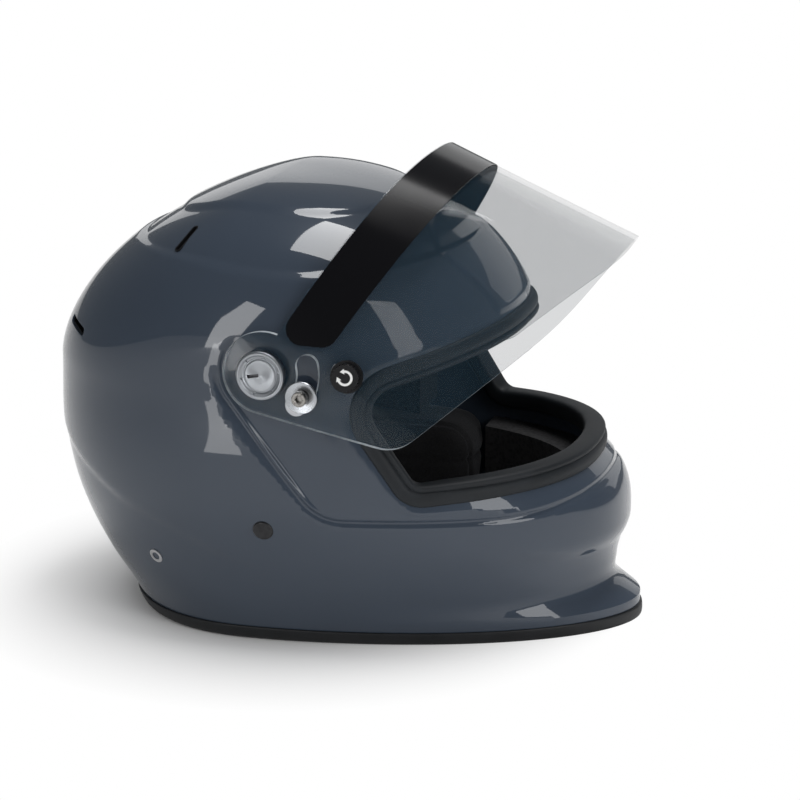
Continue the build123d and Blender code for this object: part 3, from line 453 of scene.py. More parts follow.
def near_creases(place):
    """Where the shell's grid needs finer faces."""
    x, y, z = place.T
    seat = np.abs(inside_by(VISOR_OUTLINE, x, z) + SEAT_MARGIN)
    close = (seat < 9) & (z < 214) & ((np.abs(y) > 30) | (z < 130))
    close |= (np.abs(crest(x, y, *OUTER_CREST)) < 6) & (z > 195)
    close |= (np.abs(crest(x, y, *INNER_CREST) + 1) < 8) & (z > 195)
    close |= (np.abs(inside_by(BROW_PANEL, x, y)) < 4) & (z > 190)
    return close


def near_seat(place):
    """Where the groove round the visor's seat needs them finer still."""
    x, y, z = place.T
    seat = np.abs(inside_by(VISOR_OUTLINE, x, z) + SEAT_MARGIN)
    return (seat < 6) & (z < 180) & ((np.abs(y) > 30) | (z < 130))


blank, faces = grid_shell(120, 280, 0.0, -4.0)
blank, normals, faces = finer_near(blank, faces, (near_creases, near_seat, near_seat))
shell = mesh_object("shell_skin", relief(blank, normals), faces)
outward(shell)
core, faces = grid_shell(60, 120, SHELL_WALL + 2.0, -8.0)
hollow = mesh_object("shell_hollow", core, faces)
outward(hollow)
carve(shell, hollow)
carve(shell, across("port_cut", grown(PORT, -6.0)))
rim_cut = mesh_object("rim_cut", [(x, y, z) for z in (-20, SHELL_BASE) for x, y in (
    (-300, -300), (300, -300), (300, 300), (-300, 300))],
    [[3, 2, 1, 0], [4, 5, 6, 7], [0, 1, 5, 4], [1, 2, 6, 5], [2, 3, 7, 6], [3, 0, 4, 7]])
carve(shell, rim_cut)


def pointing(place, out, run=(1, 0, 0)):
    """Matrix with its z along out, its x along run, at a place in millimetres."""
    up = Vector(out).normalized()
    along = Vector(run)
    along = (along - up * along.dot(up)).normalized()
    turn = Matrix((along, up.cross(along), up)).transposed().to_4x4()
    return Matrix.Translation(Vector(place)) @ turn


def pill(length, width, low, high, steps=12):
    """Closed points and faces of an upright bar with round ends."""
    radius = width / 2
    turns = np.concatenate([np.linspace(-90, 90, steps), np.linspace(90, 270, steps)])
    centre = np.repeat([length / 2 - radius, radius - length / 2], steps)
    x = centre + radius * np.cos(np.radians(turns))
    y = radius * np.sin(np.radians(turns))
    points = np.vstack([np.stack([x, y, np.full(len(x), level)], -1) for level in (low, high)])
    return points, prism_faces(len(x))


def placed(points, matrix):
    return np.array([matrix @ Vector(p) for p in points])


# Vent slots, two high on the crown and two at the rear: the place on the right side, the
# way out, the way the slot runs, its length and its width.
VENTS = (((-31.5, -96.5, 236.5), (-0.35, -0.5, 0.79), (-7.5, -13.0, -12.3), 20.0, 4.6),
         ((-107.5, -76.0, 175.5), (-0.75, -0.55, 0.35), (17.0, -26.0, -2.4), 32.0, 5.0))
VENT_DEPTHS = (-14, 8)
for place, out, run, length, width in VENTS:
    for hand in (1, -1):
        flip = Matrix.Diagonal((1, hand, 1, 1))
        points, faces = pill(length, width, *VENT_DEPTHS)
        slot = mesh_object("vent_slot", placed(points, flip @ pointing(place, out, run)), faces)
        outward(slot)
        carve(shell, slot)
clean(shell)
smooth(shell, 40)
paint(shell, lacquer)
shell.name = "painted_shell"
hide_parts("outer_shell")
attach(shell, "helmet")


# Eyeport gasket. An extruded rubber profile pushed over the edge of the opening, with a
# rounded outer bead, a groove and a thinner inner lip; along the chin it stands upright.
GASKET_PROFILE = [(-1.4, 0.1), (-1.2, 1.0), (-0.4, 1.8), (1.2, 2.3), (3.2, 2.4), (5.2, 2.1),
                  (6.6, 1.2), (7.1, 0.2), (7.6, 1.0), (8.8, 1.3), (10.0, 0.9), (10.9, -0.2),
                  (11.3, -2.4), (11.4, -6.0), (11.2, -9.6), (10.4, -11.3), (8.6, -11.9),
                  (5.0, -12.0), (0.5, -11.6), (-0.8, -9.5), (-1.2, -5.0), (-1.4, -1.2)]
RAIL_STEPS, RAIL_SMOOTHING = 150, 6
CHIN_EDGE_FROM, CHIN_EDGE_TOP, CHIN_EDGE_PLAN = 104, 112, 99.0
BROW_OUT, CHIN_OUT = (0.955, 0, 0.296), (1, 0, 0)


def even_spread(points, count):
    """The same line with its points evenly spaced along it."""
    steps = np.linalg.norm(np.diff(points, axis=0), axis=1)
    along = np.append(0, np.cumsum(steps))
    wanted = np.linspace(0, along[-1], count)
    return np.stack([np.interp(wanted, along, points[:, k]) for k in range(points.shape[1])], -1)


def form_normal(x, z):
    """Outward direction of the form on its right side."""
    step = 0.4
    y = form_side(x, z)
    dx = (form_side(x + step, z) - form_side(x - step, z)) / (2 * step)
    dz = (form_side(x, z + step) - form_side(x, z - step)) / (2 * step)
    normal = np.stack([-dx, -1 + 0 * y, -dz], -1)
    return normal / np.linalg.norm(normal, axis=1, keepdims=True)


def port_rail():
    """The opening's edge from the brow's middle round the right side to the chin's middle."""
    outline = even_spread(np.vstack([PORT, PORT[:1]]), 60000)
    x, z = outline.T
    z_plan = np.where((z < CHIN_EDGE_TOP) & (x > CHIN_EDGE_FROM), CHIN_EDGE_PLAN + 0 * z, z)
    blend = ease(x, CHIN_EDGE_FROM, 125) * (z < CHIN_EDGE_TOP)
    z_plan = z * (1 - blend) + z_plan * blend
    kept = (x < reaches(z_plan)[0]) & (x > 0)
    x, z, z_plan = x[kept], z[kept], z_plan[kept]
    rail = np.stack([x, -form_side(x, z_plan), z, z_plan], -1)
    if rail[0, 2] < rail[-1, 2]:
        rail = rail[::-1]
    for end in (0, -1):
        last = rail[end].copy()
        last[0], last[1] = last[0] + 0.05, 0.0
        rail = np.vstack([last[None], rail]) if end == 0 else np.vstack([rail, last[None]])
    return even_spread(rail, RAIL_STEPS)


rail = port_rail()
x, y, z, z_plan = rail.T
y[0] = y[-1] = -1e-6
along_line = np.gradient(rail[:, :3], axis=0)
along_line /= np.linalg.norm(along_line, axis=1, keepdims=True)
ahead = np.clip(x, -200, reaches(z_plan)[0] - 0.6)
out = form_normal(ahead, z_plan)
upright = ease(x, 100, 130) * ease(z, 125, 108)
out[:, 2] *= 1 - upright
out[0], out[-1] = BROW_OUT, CHIN_OUT
out -= along_line * (out * along_line).sum(1, keepdims=True)
out /= np.linalg.norm(out, axis=1, keepdims=True)
for step in range(RAIL_SMOOTHING):
    out[1:-1] = (out[:-2] + 2 * out[1:-1] + out[2:]) / 4
out /= np.linalg.norm(out, axis=1, keepdims=True)
into = np.cross(out, along_line)
into *= np.sign(into[RAIL_STEPS // 2, 0])
gasket_points = []
for hand in (1, -1):
    keep = slice(None) if hand == 1 else slice(-2, 0, -1)
    for p, n, t in zip(rail[keep, :3], out[keep], into[keep]):
        for a, b in GASKET_PROFILE:
            place = p + t * a + n * b
            gasket_points.append((place[0], place[1] * hand, place[2]))
count = len(GASKET_PROFILE)
gasket = mesh_object("rubber_gasket", gasket_points, ring_faces(len(gasket_points) // count, count))
outward(gasket)
rounder(gasket)
smooth(gasket, 60)
rubber = flecked("gasket_rubber", (0.010, 0.012, 0.015), 0.50, 45.0, 5.0,
                 ((0.007, 0.009, 0.011), (0.014, 0.017, 0.021)), (0.45, 0.68), Specular_IOR_Level=0.35)
skin_grain = pattern(rubber, "ShaderNodeTexNoise", 1400.0, Detail=2.0)
bump(rubber, skin_grain.outputs["Fac"], 0.08, 0.0003)
paint(gasket, rubber)
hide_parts("eyeport_gasket")
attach(gasket, "helmet")

# Base trim. An extruded rubber channel pressed over the lower rim, its outside rounded
# and its foot rolled under, all in one length.
TRIM_PROFILE = [(8.5, -0.4), (8.55, 0.5), (8.1, 1.15), (7.0, 1.45), (5.0, 1.6), (3.0, 1.55), (1.4, 1.25),
                (0.4, 0.5), (0.0, -0.6), (0.0, -2.4), (0.4, -3.8), (1.4, -4.5), (3.2, -4.7), (6.0, -4.7),
                (8.0, -4.4), (8.5, -3.6)]
TRIM_STEPS = 300
turns = np.linspace(0, 2 * np.pi, TRIM_STEPS, endpoint=False)
trim_points = np.stack([form_point(np.full(TRIM_STEPS, level), turns, -proud)
                        for level, proud in TRIM_PROFILE], 1)
trim = mesh_object("rubber_base_trim", trim_points.reshape(-1, 3), ring_faces(TRIM_STEPS, len(TRIM_PROFILE)))
outward(trim)
rounder(trim)
smooth(trim, 60)
paint(trim, flecked("trim_rubber", (0.008, 0.009, 0.011), 0.42, 60.0, 6.0,
                    ((0.006, 0.007, 0.008), (0.012, 0.013, 0.015)), (0.34, 0.55), Specular_IOR_Level=0.4))
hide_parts("base_trim")
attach(trim, "helmet")


# Visor. A 3 mm sheet of polycarbonate bent round the face, its ends cut with a bearing
# hole and a curved stop slot. Its cut edges near the ends are painted a pale grey, a
# painted highlight. It is drawn closed, then raised.
def visor_blank(name, outer, inner, columns=220, rows=60, low=55, high=250, slant=1.124):
    """Closed sheet between two insets of the visor's curved form, which leans at the front."""
    turns = np.linspace(-np.pi / 2, np.pi / 2, columns)
    tail = np.linspace(-12, VISOR_MIDDLE - 4, 6)
    sides = []
    for inset in (outer, inner):
        points, half = [], VISOR_SIDE - inset
        for level in np.linspace(low, high, rows):
            reach = visor_reach(level) - inset * slant
            ring = np.stack([VISOR_MIDDLE + reach * bowed(np.cos(turns), VISOR_POWER),
                             half * bowed(np.sin(turns), VISOR_POWER), 0 * turns + level], -1)
            right = np.stack([tail, 0 * tail - half, 0 * tail + level], -1)
            left = np.stack([tail[::-1], 0 * tail + half, 0 * tail + level], -1)
            points.append(np.vstack([right, ring, left]))
        sides.append(np.array(points))
    wide = sides[0].shape[1]
    outside = np.arange(rows * wide).reshape(rows, wide)
    corners = [outside[:-1, :-1], outside[:-1, 1:], outside[1:, 1:], outside[1:, :-1]]
    faces = np.stack(corners, -1).reshape(-1, 4)
    faces = np.vstack([faces, faces[:, ::-1] + rows * wide]).tolist()
    border = np.concatenate([outside[0], outside[1:, -1], outside[-1, -2::-1], outside[-2:0:-1, 0]])
    after = np.roll(border, -1)
    faces += np.stack([border, border + rows * wide, after + rows * wide, after], -1).tolist()
    piece = mesh_object(name, np.vstack([sides[0].reshape(-1, 3), sides[1].reshape(-1, 3)]), faces)
    outward(piece)
    return piece


def ring_outline(x, z, radius, steps=48):
    turns = np.linspace(0, 2 * np.pi, steps, endpoint=False)
    return np.stack([x + radius * np.cos(turns), z + radius * np.sin(turns)], -1)


def arc_slot(first, last, width, steps=24):
    """Outline of a slot curved about the visor's pivot, between its end centres in degrees."""
    turns = np.radians(np.linspace(first, last, steps))
    cap = np.linspace(0, np.pi, 14)[1:-1] * (1 if last > first else -1)
    half = width / 2

    def spots(radius, angles):
        return np.stack([radius * np.cos(angles), radius * np.sin(angles)], -1)

    return PIVOT + np.vstack([
        spots(STOP_RADIUS + half, turns),
        spots(STOP_RADIUS, turns[-1:]) + spots(half, turns[-1] + cap),
        spots(STOP_RADIUS - half, turns[::-1]),
        spots(STOP_RADIUS, turns[:1]) + spots(-half, turns[0] + cap)])


def raise_up(piece):
    """Turns a piece drawn on the closed visor up with it."""
    hinge = Matrix.Translation(Vector((PIVOT[0] * MM, 0, PIVOT[1] * MM)))
    piece.data.transform(hinge @ Matrix.Rotation(-VISOR_LIFT, 4, "Y") @ hinge.inverted())
    piece.data.update()


def bulge(x, y, z):
    """Grows outwards through the visor's curved form, and is 1 at its outside."""
    return ((abs(y) / VISOR_SIDE) ** VISOR_POWER
            + (max(x - VISOR_MIDDLE, 0) / visor_reach(z)) ** VISOR_POWER) ** (1 / VISOR_POWER)


def edgewise(face, step=0.5):
    """Whether a face of the closed sheet lies across its thickness."""
    here = face.center / MM
    rise = [bulge(*(here + side)) - bulge(*(here - side)) for side in Matrix.Identity(3) * step]
    return abs(face.normal.dot(Vector(rise).normalized())) < 0.5


EDGE_HIGHLIGHT_FROM = 108.0
sheet = visor_blank("visor_sheet", 0.0, VISOR_WALL)
carve(sheet, across("visor_outline", VISOR_OUTLINE), "INTERSECT")
carve(sheet, across("bearing_holes", ring_outline(*PIVOT, BEARING_RADIUS)))
carve(sheet, across("stop_slots", arc_slot(STOP_TURN, STOP_END, STOP_SLOT)))
carve(sheet, across("dial_hole", ring_outline(*DIAL, DIAL_RADIUS), reach=60.0, shift=-110.0))
clean(sheet, 1e-5)
cut_edge = [face.index for face in sheet.data.polygons if abs(face.center.y) > EDGE_HIGHLIGHT_FROM * MM
            and edgewise(face)]
raise_up(sheet)
smooth(sheet, 30)
# The grey-blue colour at low alpha is partly the sheet's tint, which dims what lies behind, and partly a
# painted veil of reflection that its own lit colour lays over the dark parts behind.
clear = flecked("clear_polycarbonate", (0.022, 0.050, 0.075), 0.05, 9.0, 2.0,
                ((0.020, 0.047, 0.071), (0.024, 0.053, 0.079)), Alpha=0.17, IOR=1.58, Specular_IOR_Level=0.6)
# Painted highlight: the cut edges near the sheet's ends get an opaque pale grey in place of clear sheet.
edge_highlight = flecked("painted_edge_highlight", (0.62, 0.67, 0.71), 0.25, 300.0, 2.0,
                   ((0.42, 0.47, 0.51), (0.68, 0.73, 0.76)), Specular_IOR_Level=0.6)
paint(sheet, clear)
sheet.data.materials.append(edge_highlight)
for index in cut_edge:
    sheet.data.polygons[index].material_index = 1
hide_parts("visor")
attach(sheet, "visor")

# Visor strip. A black gloss film laid over the sheet's upper edge, its two lower corners
# cut round. It is left bare.
STRIP_FRONT, STRIP_CORNER, STRIP_ROUND = 276.0, (64.9, 157.5), 9.0
slope = (213.0 - 179.5) / (150.0 - 40.0)
top = 179.5 - 0.8
front_low = STRIP_CORNER[1] + slope * 0.94 * (STRIP_FRONT - STRIP_CORNER[0])
STRIP = rounded([(41.6, top + slope * 1.6), STRIP_CORNER, (STRIP_FRONT, front_low),
                 (STRIP_FRONT, top + slope * (STRIP_FRONT - 40.0))], [STRIP_ROUND, STRIP_ROUND, 0, 0])
band = visor_blank("visor_band", -0.45, -0.02)
carve(band, across("strip_outline", STRIP), "INTERSECT")
clean(band, 1e-5)
raise_up(band)
smooth(band, 30)
film = node_material("gloss_film", (0.005, 0.005, 0.006), 0.16, Specular_IOR_Level=0.12)
ripple = pattern(film, "ShaderNodeTexNoise", 30.0, Detail=2.0)
bump(film, ripple.outputs["Fac"], 0.04, 0.0006)
range_of(film, ripple.outputs["Fac"], "Roughness", 0.10, 0.22)
paint(band, film)
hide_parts("visor_strip")
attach(band, "visor")


def repaint(names, material):
    """Gives CAD pieces a material of their own."""
    for name in names:
        paint(nodes[name], material)


def both(name):
    return name + "_right", name + "_left"


def turned_bump(material, centre, pitch, strength):
    """Fine rings about an axis across the helmet, as a lathe leaves them."""
    tree = material.node_tree
    place = object_place(tree)
    shift = tree.nodes.new("ShaderNodeMapping")
    shift.inputs["Location"].default_value = (-centre[0] * MM, 0, -centre[1] * MM)
    rings = tree.nodes.new("ShaderNodeTexWave")
    rings.wave_type, rings.rings_direction = "RINGS", "Y"
    rings.inputs["Scale"].default_value = WAVE_PERIOD / (pitch * MM)
    rings.inputs["Distortion"].default_value = 0.4
    tree.links.new(place, shift.inputs["Vector"])
    tree.links.new(shift.outputs["Vector"], rings.inputs["Vector"])
    bump(material, rings.outputs["Fac"], strength, 0.00005)


def line_recess(piece, tone, inside):
    """Gives a second material to the faces whose middles pass a test in millimetres."""
    piece.data.materials.append(tone)
    for face in piece.data.polygons:
        x, y, z = face.center / MM
        if inside(x, y, z):
            face.material_index = 1


def round_grain(material):
    """Turns the material's stretched highlights about the piece's own axis across the helmet."""
    tree = material.node_tree
    grain = tree.nodes.new("ShaderNodeTangent")
    grain.direction_type, grain.axis = "RADIAL", "Y"
    tree.links.new(grain.outputs["Tangent"], tree.nodes["Principled BSDF"].inputs["Tangent"])


# Visor pivots. On each side a large aluminium screw head, turned and dimpled, clamps the
# sheet over a plastic bush on the shell's threaded insert.
HEAD_PROFILE = [(0.0, 2.9), (0.6, 2.95), (4.2, 3.6), (8.2, 4.25), (8.6, 4.2), (9.1, 3.95), (9.3, 3.55),
                (9.7, 3.5), (10.1, 3.95), (10.5, 4.25), (11.0, 4.35), (11.5, 4.9), (11.9, 5.35), (12.4, 5.5),
                (13.0, 5.4), (13.6, 4.95), (13.9, 4.3), (14.0, 3.4), (14.0, 0.7), (13.8, 0.25), (13.3, 0.0),
                (0.0, 0.0)]


def turned(name, profile, place, face, steps=96):
    """A lathe-turned piece on the right side: radii and heights out from a face."""
    turns = np.linspace(0, 2 * np.pi, steps, endpoint=False)
    points, faces, rings = [], [], []
    for radius, height in profile:
        if radius == 0:
            rings.append([len(points)] * steps)
            points.append((place[0], -face - height, place[1]))
            continue
        rings.append(list(range(len(points), len(points) + steps)))
        points += [(place[0] + radius * math.cos(a), -face - height, place[1] + radius * math.sin(a))
                   for a in turns]
    for low, high in zip(rings, rings[1:]):
        for k in range(steps):
            quad = [low[k], low[(k + 1) % steps], high[(k + 1) % steps], high[k]]
            face_points = list(dict.fromkeys(quad))
            if len(face_points) > 2:
                faces.append(face_points)
    piece = mesh_object(name, points, faces)
    outward(piece)
    return piece


def sink(piece, outline, level):
    """Cuts an outline into a turned piece, down to a height above the screws' face."""
    points = [(x, y, z) for y in (-SCREW_FACE - level, -SCREW_FACE - TOOL_HEIGHT) for x, z in outline]
    tool = mesh_object("tool", points, prism_faces(len(outline)))
    outward(tool)
    carve(piece, tool)


def other_side(piece, name):
    """The same piece mirrored to the left side."""
    twin = linked(name, piece.data.copy())
    twin.data.transform(Matrix.Diagonal((1, -1, 1, 1)))
    outward(twin)
    return twin


SCREW_FACE, TOOL_HEIGHT = 132.3, 8
HEAD_CREASE, DIMPLES, DIMPLE_CIRCLE, DIMPLE_RADIUS = 28, 6, 10.75, 0.75
SLOT_TURN, SLOT_START, SLOT_END, SLOT_HALF, SLOT_LEVEL = math.radians(8), -7.4, -1.2, 0.95, 2.0
SLOT_SLACK, WALL_SLACK, FLOOR_SLACK = 0.05, 0.01, 0.1
SHANK_PROFILE = [(0.0, 0.2), (3.0, 0.2), (3.0, -10.5), (2.6, -10.9), (0.0, -10.9)]
head = turned("pivot_head", HEAD_PROFILE, PIVOT, SCREW_FACE)
for step in range(DIMPLES):
    turn = 2 * math.pi * (step + 0.2) / DIMPLES
    spot = (PIVOT[0] + DIMPLE_CIRCLE * math.cos(turn), PIVOT[1] + DIMPLE_CIRCLE * math.sin(turn))
    sink(head, ring_outline(*spot, DIMPLE_RADIUS, 14), 3.5)
slot_points = [(SLOT_START, -SLOT_HALF), (SLOT_END, -SLOT_HALF),
               (SLOT_END, SLOT_HALF), (SLOT_START, SLOT_HALF)]
slot_outline = [(PIVOT[0] + a * math.cos(SLOT_TURN) - b * math.sin(SLOT_TURN),
                 PIVOT[1] + a * math.sin(SLOT_TURN) + b * math.cos(SLOT_TURN)) for a, b in slot_points]
sink(head, slot_outline, SLOT_LEVEL)
clean(head, 1e-6)
shank = turned("pivot_shank", SHANK_PROFILE, PIVOT, SCREW_FACE, 32)
smooth(head, HEAD_CREASE)
smooth(shank, HEAD_CREASE)
turned_metal = flecked("turned_aluminium", (0.43, 0.45, 0.475), 0.42, 400.0, 3.0, None, (0.34, 0.46),
                       Metallic=1.0, Anisotropic=0.9)
turned_bump(turned_metal, PIVOT, 0.35, 0.12)
round_grain(turned_metal)


def in_slot(x, y, z):
    """Whether a place lies in the head's short slot."""
    a, b = x - PIVOT[0], z - PIVOT[1]
    along = a * math.cos(SLOT_TURN) + b * math.sin(SLOT_TURN)
    aside = b * math.cos(SLOT_TURN) - a * math.sin(SLOT_TURN)
    return (SLOT_START - SLOT_SLACK < along < SLOT_END + SLOT_SLACK and abs(aside) < SLOT_HALF + WALL_SLACK
            and -y > SCREW_FACE + SLOT_LEVEL - FLOOR_SLACK)


# Painted shade: the faces in the head's slot get a dark grey in place of the aluminium.
recess = flecked("recess_shadow", (0.10, 0.10, 0.11), 0.5, 900.0, 3.0,
                 ((0.06, 0.06, 0.065), (0.14, 0.14, 0.15)), Metallic=0.6)
for piece, part in ((head, "pivot_head"), (shank, "pivot_shank")):
    paint(piece, turned_metal)
    if piece is head:
        line_recess(head, recess, in_slot)
    twin = other_side(piece, part + "_left")
    piece.name = part + "_right"
    smooth(twin, HEAD_CREASE)
    for hand, solid in (("_right", piece), ("_left", twin)):
        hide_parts("pivot_screw" + hand)
        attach(solid, "helmet")

# Inserts, bushes and stop blocks. Plain turned and milled pieces that the sheet mostly
# hides: aluminium inserts bonded in the shell, dark bushes, ribbed aluminium stop keys.
milled = flecked("milled_aluminium", (0.42, 0.43, 0.45), 0.36, 700.0, 3.0, None, (0.24, 0.42), Metallic=1.0)
repaint(both("pivot_insert") + both("stop_insert") + both("stop_block") + ("dial_hook",), milled)
moulded = flecked("moulded_plastic", (0.008, 0.008, 0.009), 0.38, 900.0, 2.0,
                  ((0.006, 0.006, 0.007), (0.012, 0.012, 0.013)), (0.30, 0.46), Specular_IOR_Level=0.25)
repaint(both("pivot_bush"), moulded)
repaint(("lock_catch",), lacquer)

# Stop washers and screws. A cupped aluminium washer under a small socket screw on each
# side, which the sheet's curved slot runs below.
STOP = (PIVOT[0] + STOP_RADIUS * math.cos(math.radians(STOP_TURN)),
        PIVOT[1] + STOP_RADIUS * math.sin(math.radians(STOP_TURN)))
SOCKET_RADIUS, SOCKET_LEVEL = 2.05, 3.2
WASHER_PROFILE = [(2.6, 0.0), (9.0, 0.0), (9.25, 0.2), (9.25, 0.9), (9.0, 1.3), (8.7, 1.4), (4.9, 0.75),
                  (4.6, 0.7), (2.6, 0.7), (2.6, 0.0)]
SCREW_PROFILE = [(0.0, 1.4), (4.0, 1.4), (4.3, 1.7), (4.3, 5.1), (4.15, 5.4), (3.8, 5.6), (2.35, 5.6),
                 (2.05, 5.3), (0.0, 5.3)]
washer = turned("stop_washer", WASHER_PROFILE, STOP, SCREW_FACE, 72)
stop_screw = turned("stop_screw", SCREW_PROFILE, STOP, SCREW_FACE, 48)
sink(stop_screw, ring_outline(*STOP, SOCKET_RADIUS, 6), SOCKET_LEVEL)
stop_shank = turned("stop_shank", [(0.0, 1.5), (2.5, 1.5), (2.5, -12.4), (2.1, -12.8), (0.0, -12.8)], STOP,
                    SCREW_FACE, 32)
washer_metal = flecked("washer_aluminium", (0.52, 0.54, 0.57), 0.32, 500.0, 3.0, None, (0.18, 0.32),
                       Metallic=1.0, Anisotropic=0.85)
turned_bump(washer_metal, STOP, 0.3, 0.1)
round_grain(washer_metal)
screw_steel = flecked("screw_steel", (0.24, 0.232, 0.22), 0.3, 800.0, 4.0,
                      ((0.18, 0.173, 0.162), (0.30, 0.29, 0.275)), (0.2, 0.38), Metallic=1.0)
for piece, part, node, metal in ((washer, "stop_washer_disc", "stop_washer", washer_metal),
                                 (stop_screw, "stop_screw_head", "stop_screw", screw_steel),
                                 (stop_shank, "stop_screw_shank", "stop_screw", screw_steel)):
    paint(piece, metal)
    piece.name = part + "_right"
    smooth(piece, HEAD_CREASE)
    twin = other_side(piece, part + "_left")
    smooth(twin, HEAD_CREASE)
    for hand, solid in (("_right", piece), ("_left", twin)):
        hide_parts(node + hand)
        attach(solid, "helmet")

# Lock dial. A fluted black knob in a black bezel, with a white two-headed arrow laid into
# its face and a hook behind the sheet. The pieces of the frame have the right shape.
repaint(("lock_dial", "dial_bezel"), moulded)
repaint(("dial_arrow",), flecked("white_inlay", (0.86, 0.86, 0.85), 0.45, 1200.0, 2.0,
                                 ((0.80, 0.80, 0.79), (0.90, 0.90, 0.89))))

# Strap rivets, anchor inserts and vent tubes. Black domed rivets hold the steel strap
# hangers, which carry the D-rings' strap. Threaded inserts sit low behind the cheeks, and
# moulded tubes line the vent slots.
blackened = flecked("blackened_alloy", (0.016, 0.016, 0.018), 0.34, 300.0, 5.0,
                    ((0.010, 0.010, 0.011), (0.030, 0.030, 0.032)), (0.26, 0.46), Metallic=0.3)
repaint(("strap_rivets",), blackened)
steel = flecked("strap_steel", (0.56, 0.56, 0.57), 0.3, 500.0, 4.0,
                ((0.46, 0.46, 0.47), (0.62, 0.62, 0.63)), (0.22, 0.40), Metallic=1.0)
repaint(("anchor_inserts", "strap_hangers", "d_rings"), steel)
repaint(("crown_vent_inserts", "rear_vent_inserts"), moulded)

# Impact liners. Moulded charcoal bead foam, glued into the shell and the chin bar. The
# beads show as shallow cells.
foam = node_material("bead_foam", (0.022, 0.022, 0.024), 0.78)
beads = pattern(foam, "ShaderNodeTexVoronoi", 420.0)
tint(foam, beads.outputs["Distance"], (0.014, 0.014, 0.015), (0.034, 0.034, 0.036), 0.1, 0.6)
bump(foam, beads.outputs["Distance"], 0.5, 0.0006)
repaint(("impact_liner", "chin_bar_liner"), foam)


# Comfort padding. Foam cut in panels and wrapped in black knitted cloth, sewn down along
# its channels and pressed into the liner. Each pad swells from its own sewn outline.
VOXEL, SIM_FRAMES, PAD_SHRINK, PAD_PRESSURE, PAD_CAP = 0.004, 20, 0.0012, 4.0, 0.004
SEAM_WIDTH, SEAM_DEPTH = 0.0016, 0.0016
knit = node_material("black_knit", (0.013, 0.013, 0.014), 0.85, Sheen_Weight=0.35, Sheen_Roughness=0.5,
                     Sheen_Tint=(0.25, 0.26, 0.28, 1.0))
loops = pattern(knit, "ShaderNodeTexVoronoi", 900.0)
fade = pattern(knit, "ShaderNodeTexNoise", 18.0, Detail=4.0)
tint(knit, fade.outputs["Fac"], (0.008, 0.008, 0.009), (0.019, 0.019, 0.021))
bump(knit, loops.outputs["Distance"], 0.6, 0.0004)
range_of(knit, loops.outputs["Distance"], "Roughness", 0.72, 0.95)


def pad_blank(name, node, shrink):
    """An even mesh of a pad's solid, drawn in a little before it swells."""
    piece = linked(name, nodes[node].data.copy())
    bm = bmesh.new()
    bm.from_mesh(piece.data)
    bmesh.ops.remove_doubles(bm, verts=bm.verts, dist=1e-5)
    bm.to_mesh(piece.data)
    bm.free()
    even = piece.modifiers.new("even", "REMESH")
    even.mode, even.voxel_size = "VOXEL", VOXEL
    settle(piece)
    outward(piece)
    set_points(piece, mesh_points(piece) - mesh_normals(piece) * shrink)
    return piece


def mesh_points(piece):
    flat = np.empty(len(piece.data.vertices) * 3)
    piece.data.vertices.foreach_get("co", flat)
    return flat.reshape(-1, 3)


def mesh_normals(piece):
    flat = np.empty(len(piece.data.vertices) * 3)
    piece.data.vertex_normals.foreach_get("vector", flat)
    return flat.reshape(-1, 3)


def set_points(piece, points):
    piece.data.vertices.foreach_set("co", np.ascontiguousarray(points, dtype=float).ravel())
    piece.data.update()


def swell(pieces, pressure, cap):
    """Blows up all pads at once as cloth, then holds each point within the cap of its start."""
    starts = [mesh_points(piece) for piece in pieces]
    for piece in pieces:
        cloth = piece.modifiers.new("cloth", "CLOTH")
        cloth.settings.use_pressure = True
        cloth.settings.uniform_pressure_force = pressure
        cloth.settings.quality = 4
        cloth.settings.mass = 0.3
        cloth.settings.tension_stiffness = cloth.settings.compression_stiffness = 40
        cloth.settings.effector_weights.gravity = 0
        cloth.point_cache.frame_start, cloth.point_cache.frame_end = 1, SIM_FRAMES
    for step in range(1, SIM_FRAMES + 1):
        bpy.context.scene.frame_set(step)
    for piece, start in zip(pieces, starts):
        settle(piece)
        move = mesh_points(piece) - start
        reach = np.linalg.norm(move, axis=1, keepdims=True)
        set_points(piece, start + move * np.minimum(1, cap / np.maximum(reach, 1e-9)))
    bpy.context.scene.frame_set(1)


def sewn(piece, distance, width, depth):
    """Draws the surface in along a seam, given each point's distance from it in metres."""
    points, normals = mesh_points(piece), mesh_normals(piece)
    drawn = depth * np.exp(-(distance(points) / width) ** 2)
    set_points(piece, points - normals * drawn[:, None])


def near_planes(axis, places):
    """Distance from the nearest of some planes square to an axis, in metres."""
    return lambda p: np.min([np.abs(p[:, axis] - place * MM) for place in places], axis=0)


PADS = {
    "crown_cushion": ("crown_pad", [near_planes(1, (-16, 16)), near_planes(0, (-20.7, 20.7))]),
    "brow_cushion": ("brow_pad", [near_planes(1, (-40, 0, 40))]),
    "nape_cushion": ("nape_pad", [near_planes(1, (0,)), near_planes(2, (140.7, 169.3))]),
    "cheek_cushion_right": ("cheek_pad_right", [near_planes(2, (68,)), near_planes(1, (-67,))]),
    "cheek_cushion_left": ("cheek_pad_left", [near_planes(2, (68,)), near_planes(1, (67,))]),
    "neck_cushion": ("neck_roll", [near_planes(1, (-78, -40, 0, 40, 78))])}
cushions = {name: pad_blank(name, node, PAD_SHRINK) for name, (node, _) in PADS.items()}
swell(list(cushions.values()), PAD_PRESSURE, PAD_CAP)
for name, (node, seams) in PADS.items():
    cushion = cushions[name]
    rounder(cushion)
    for seam in seams:
        sewn(cushion, seam, SEAM_WIDTH, SEAM_DEPTH)
    smooth(cushion, 80)
    paint(cushion, knit)
    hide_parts(node)
    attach(cushion, "helmet")


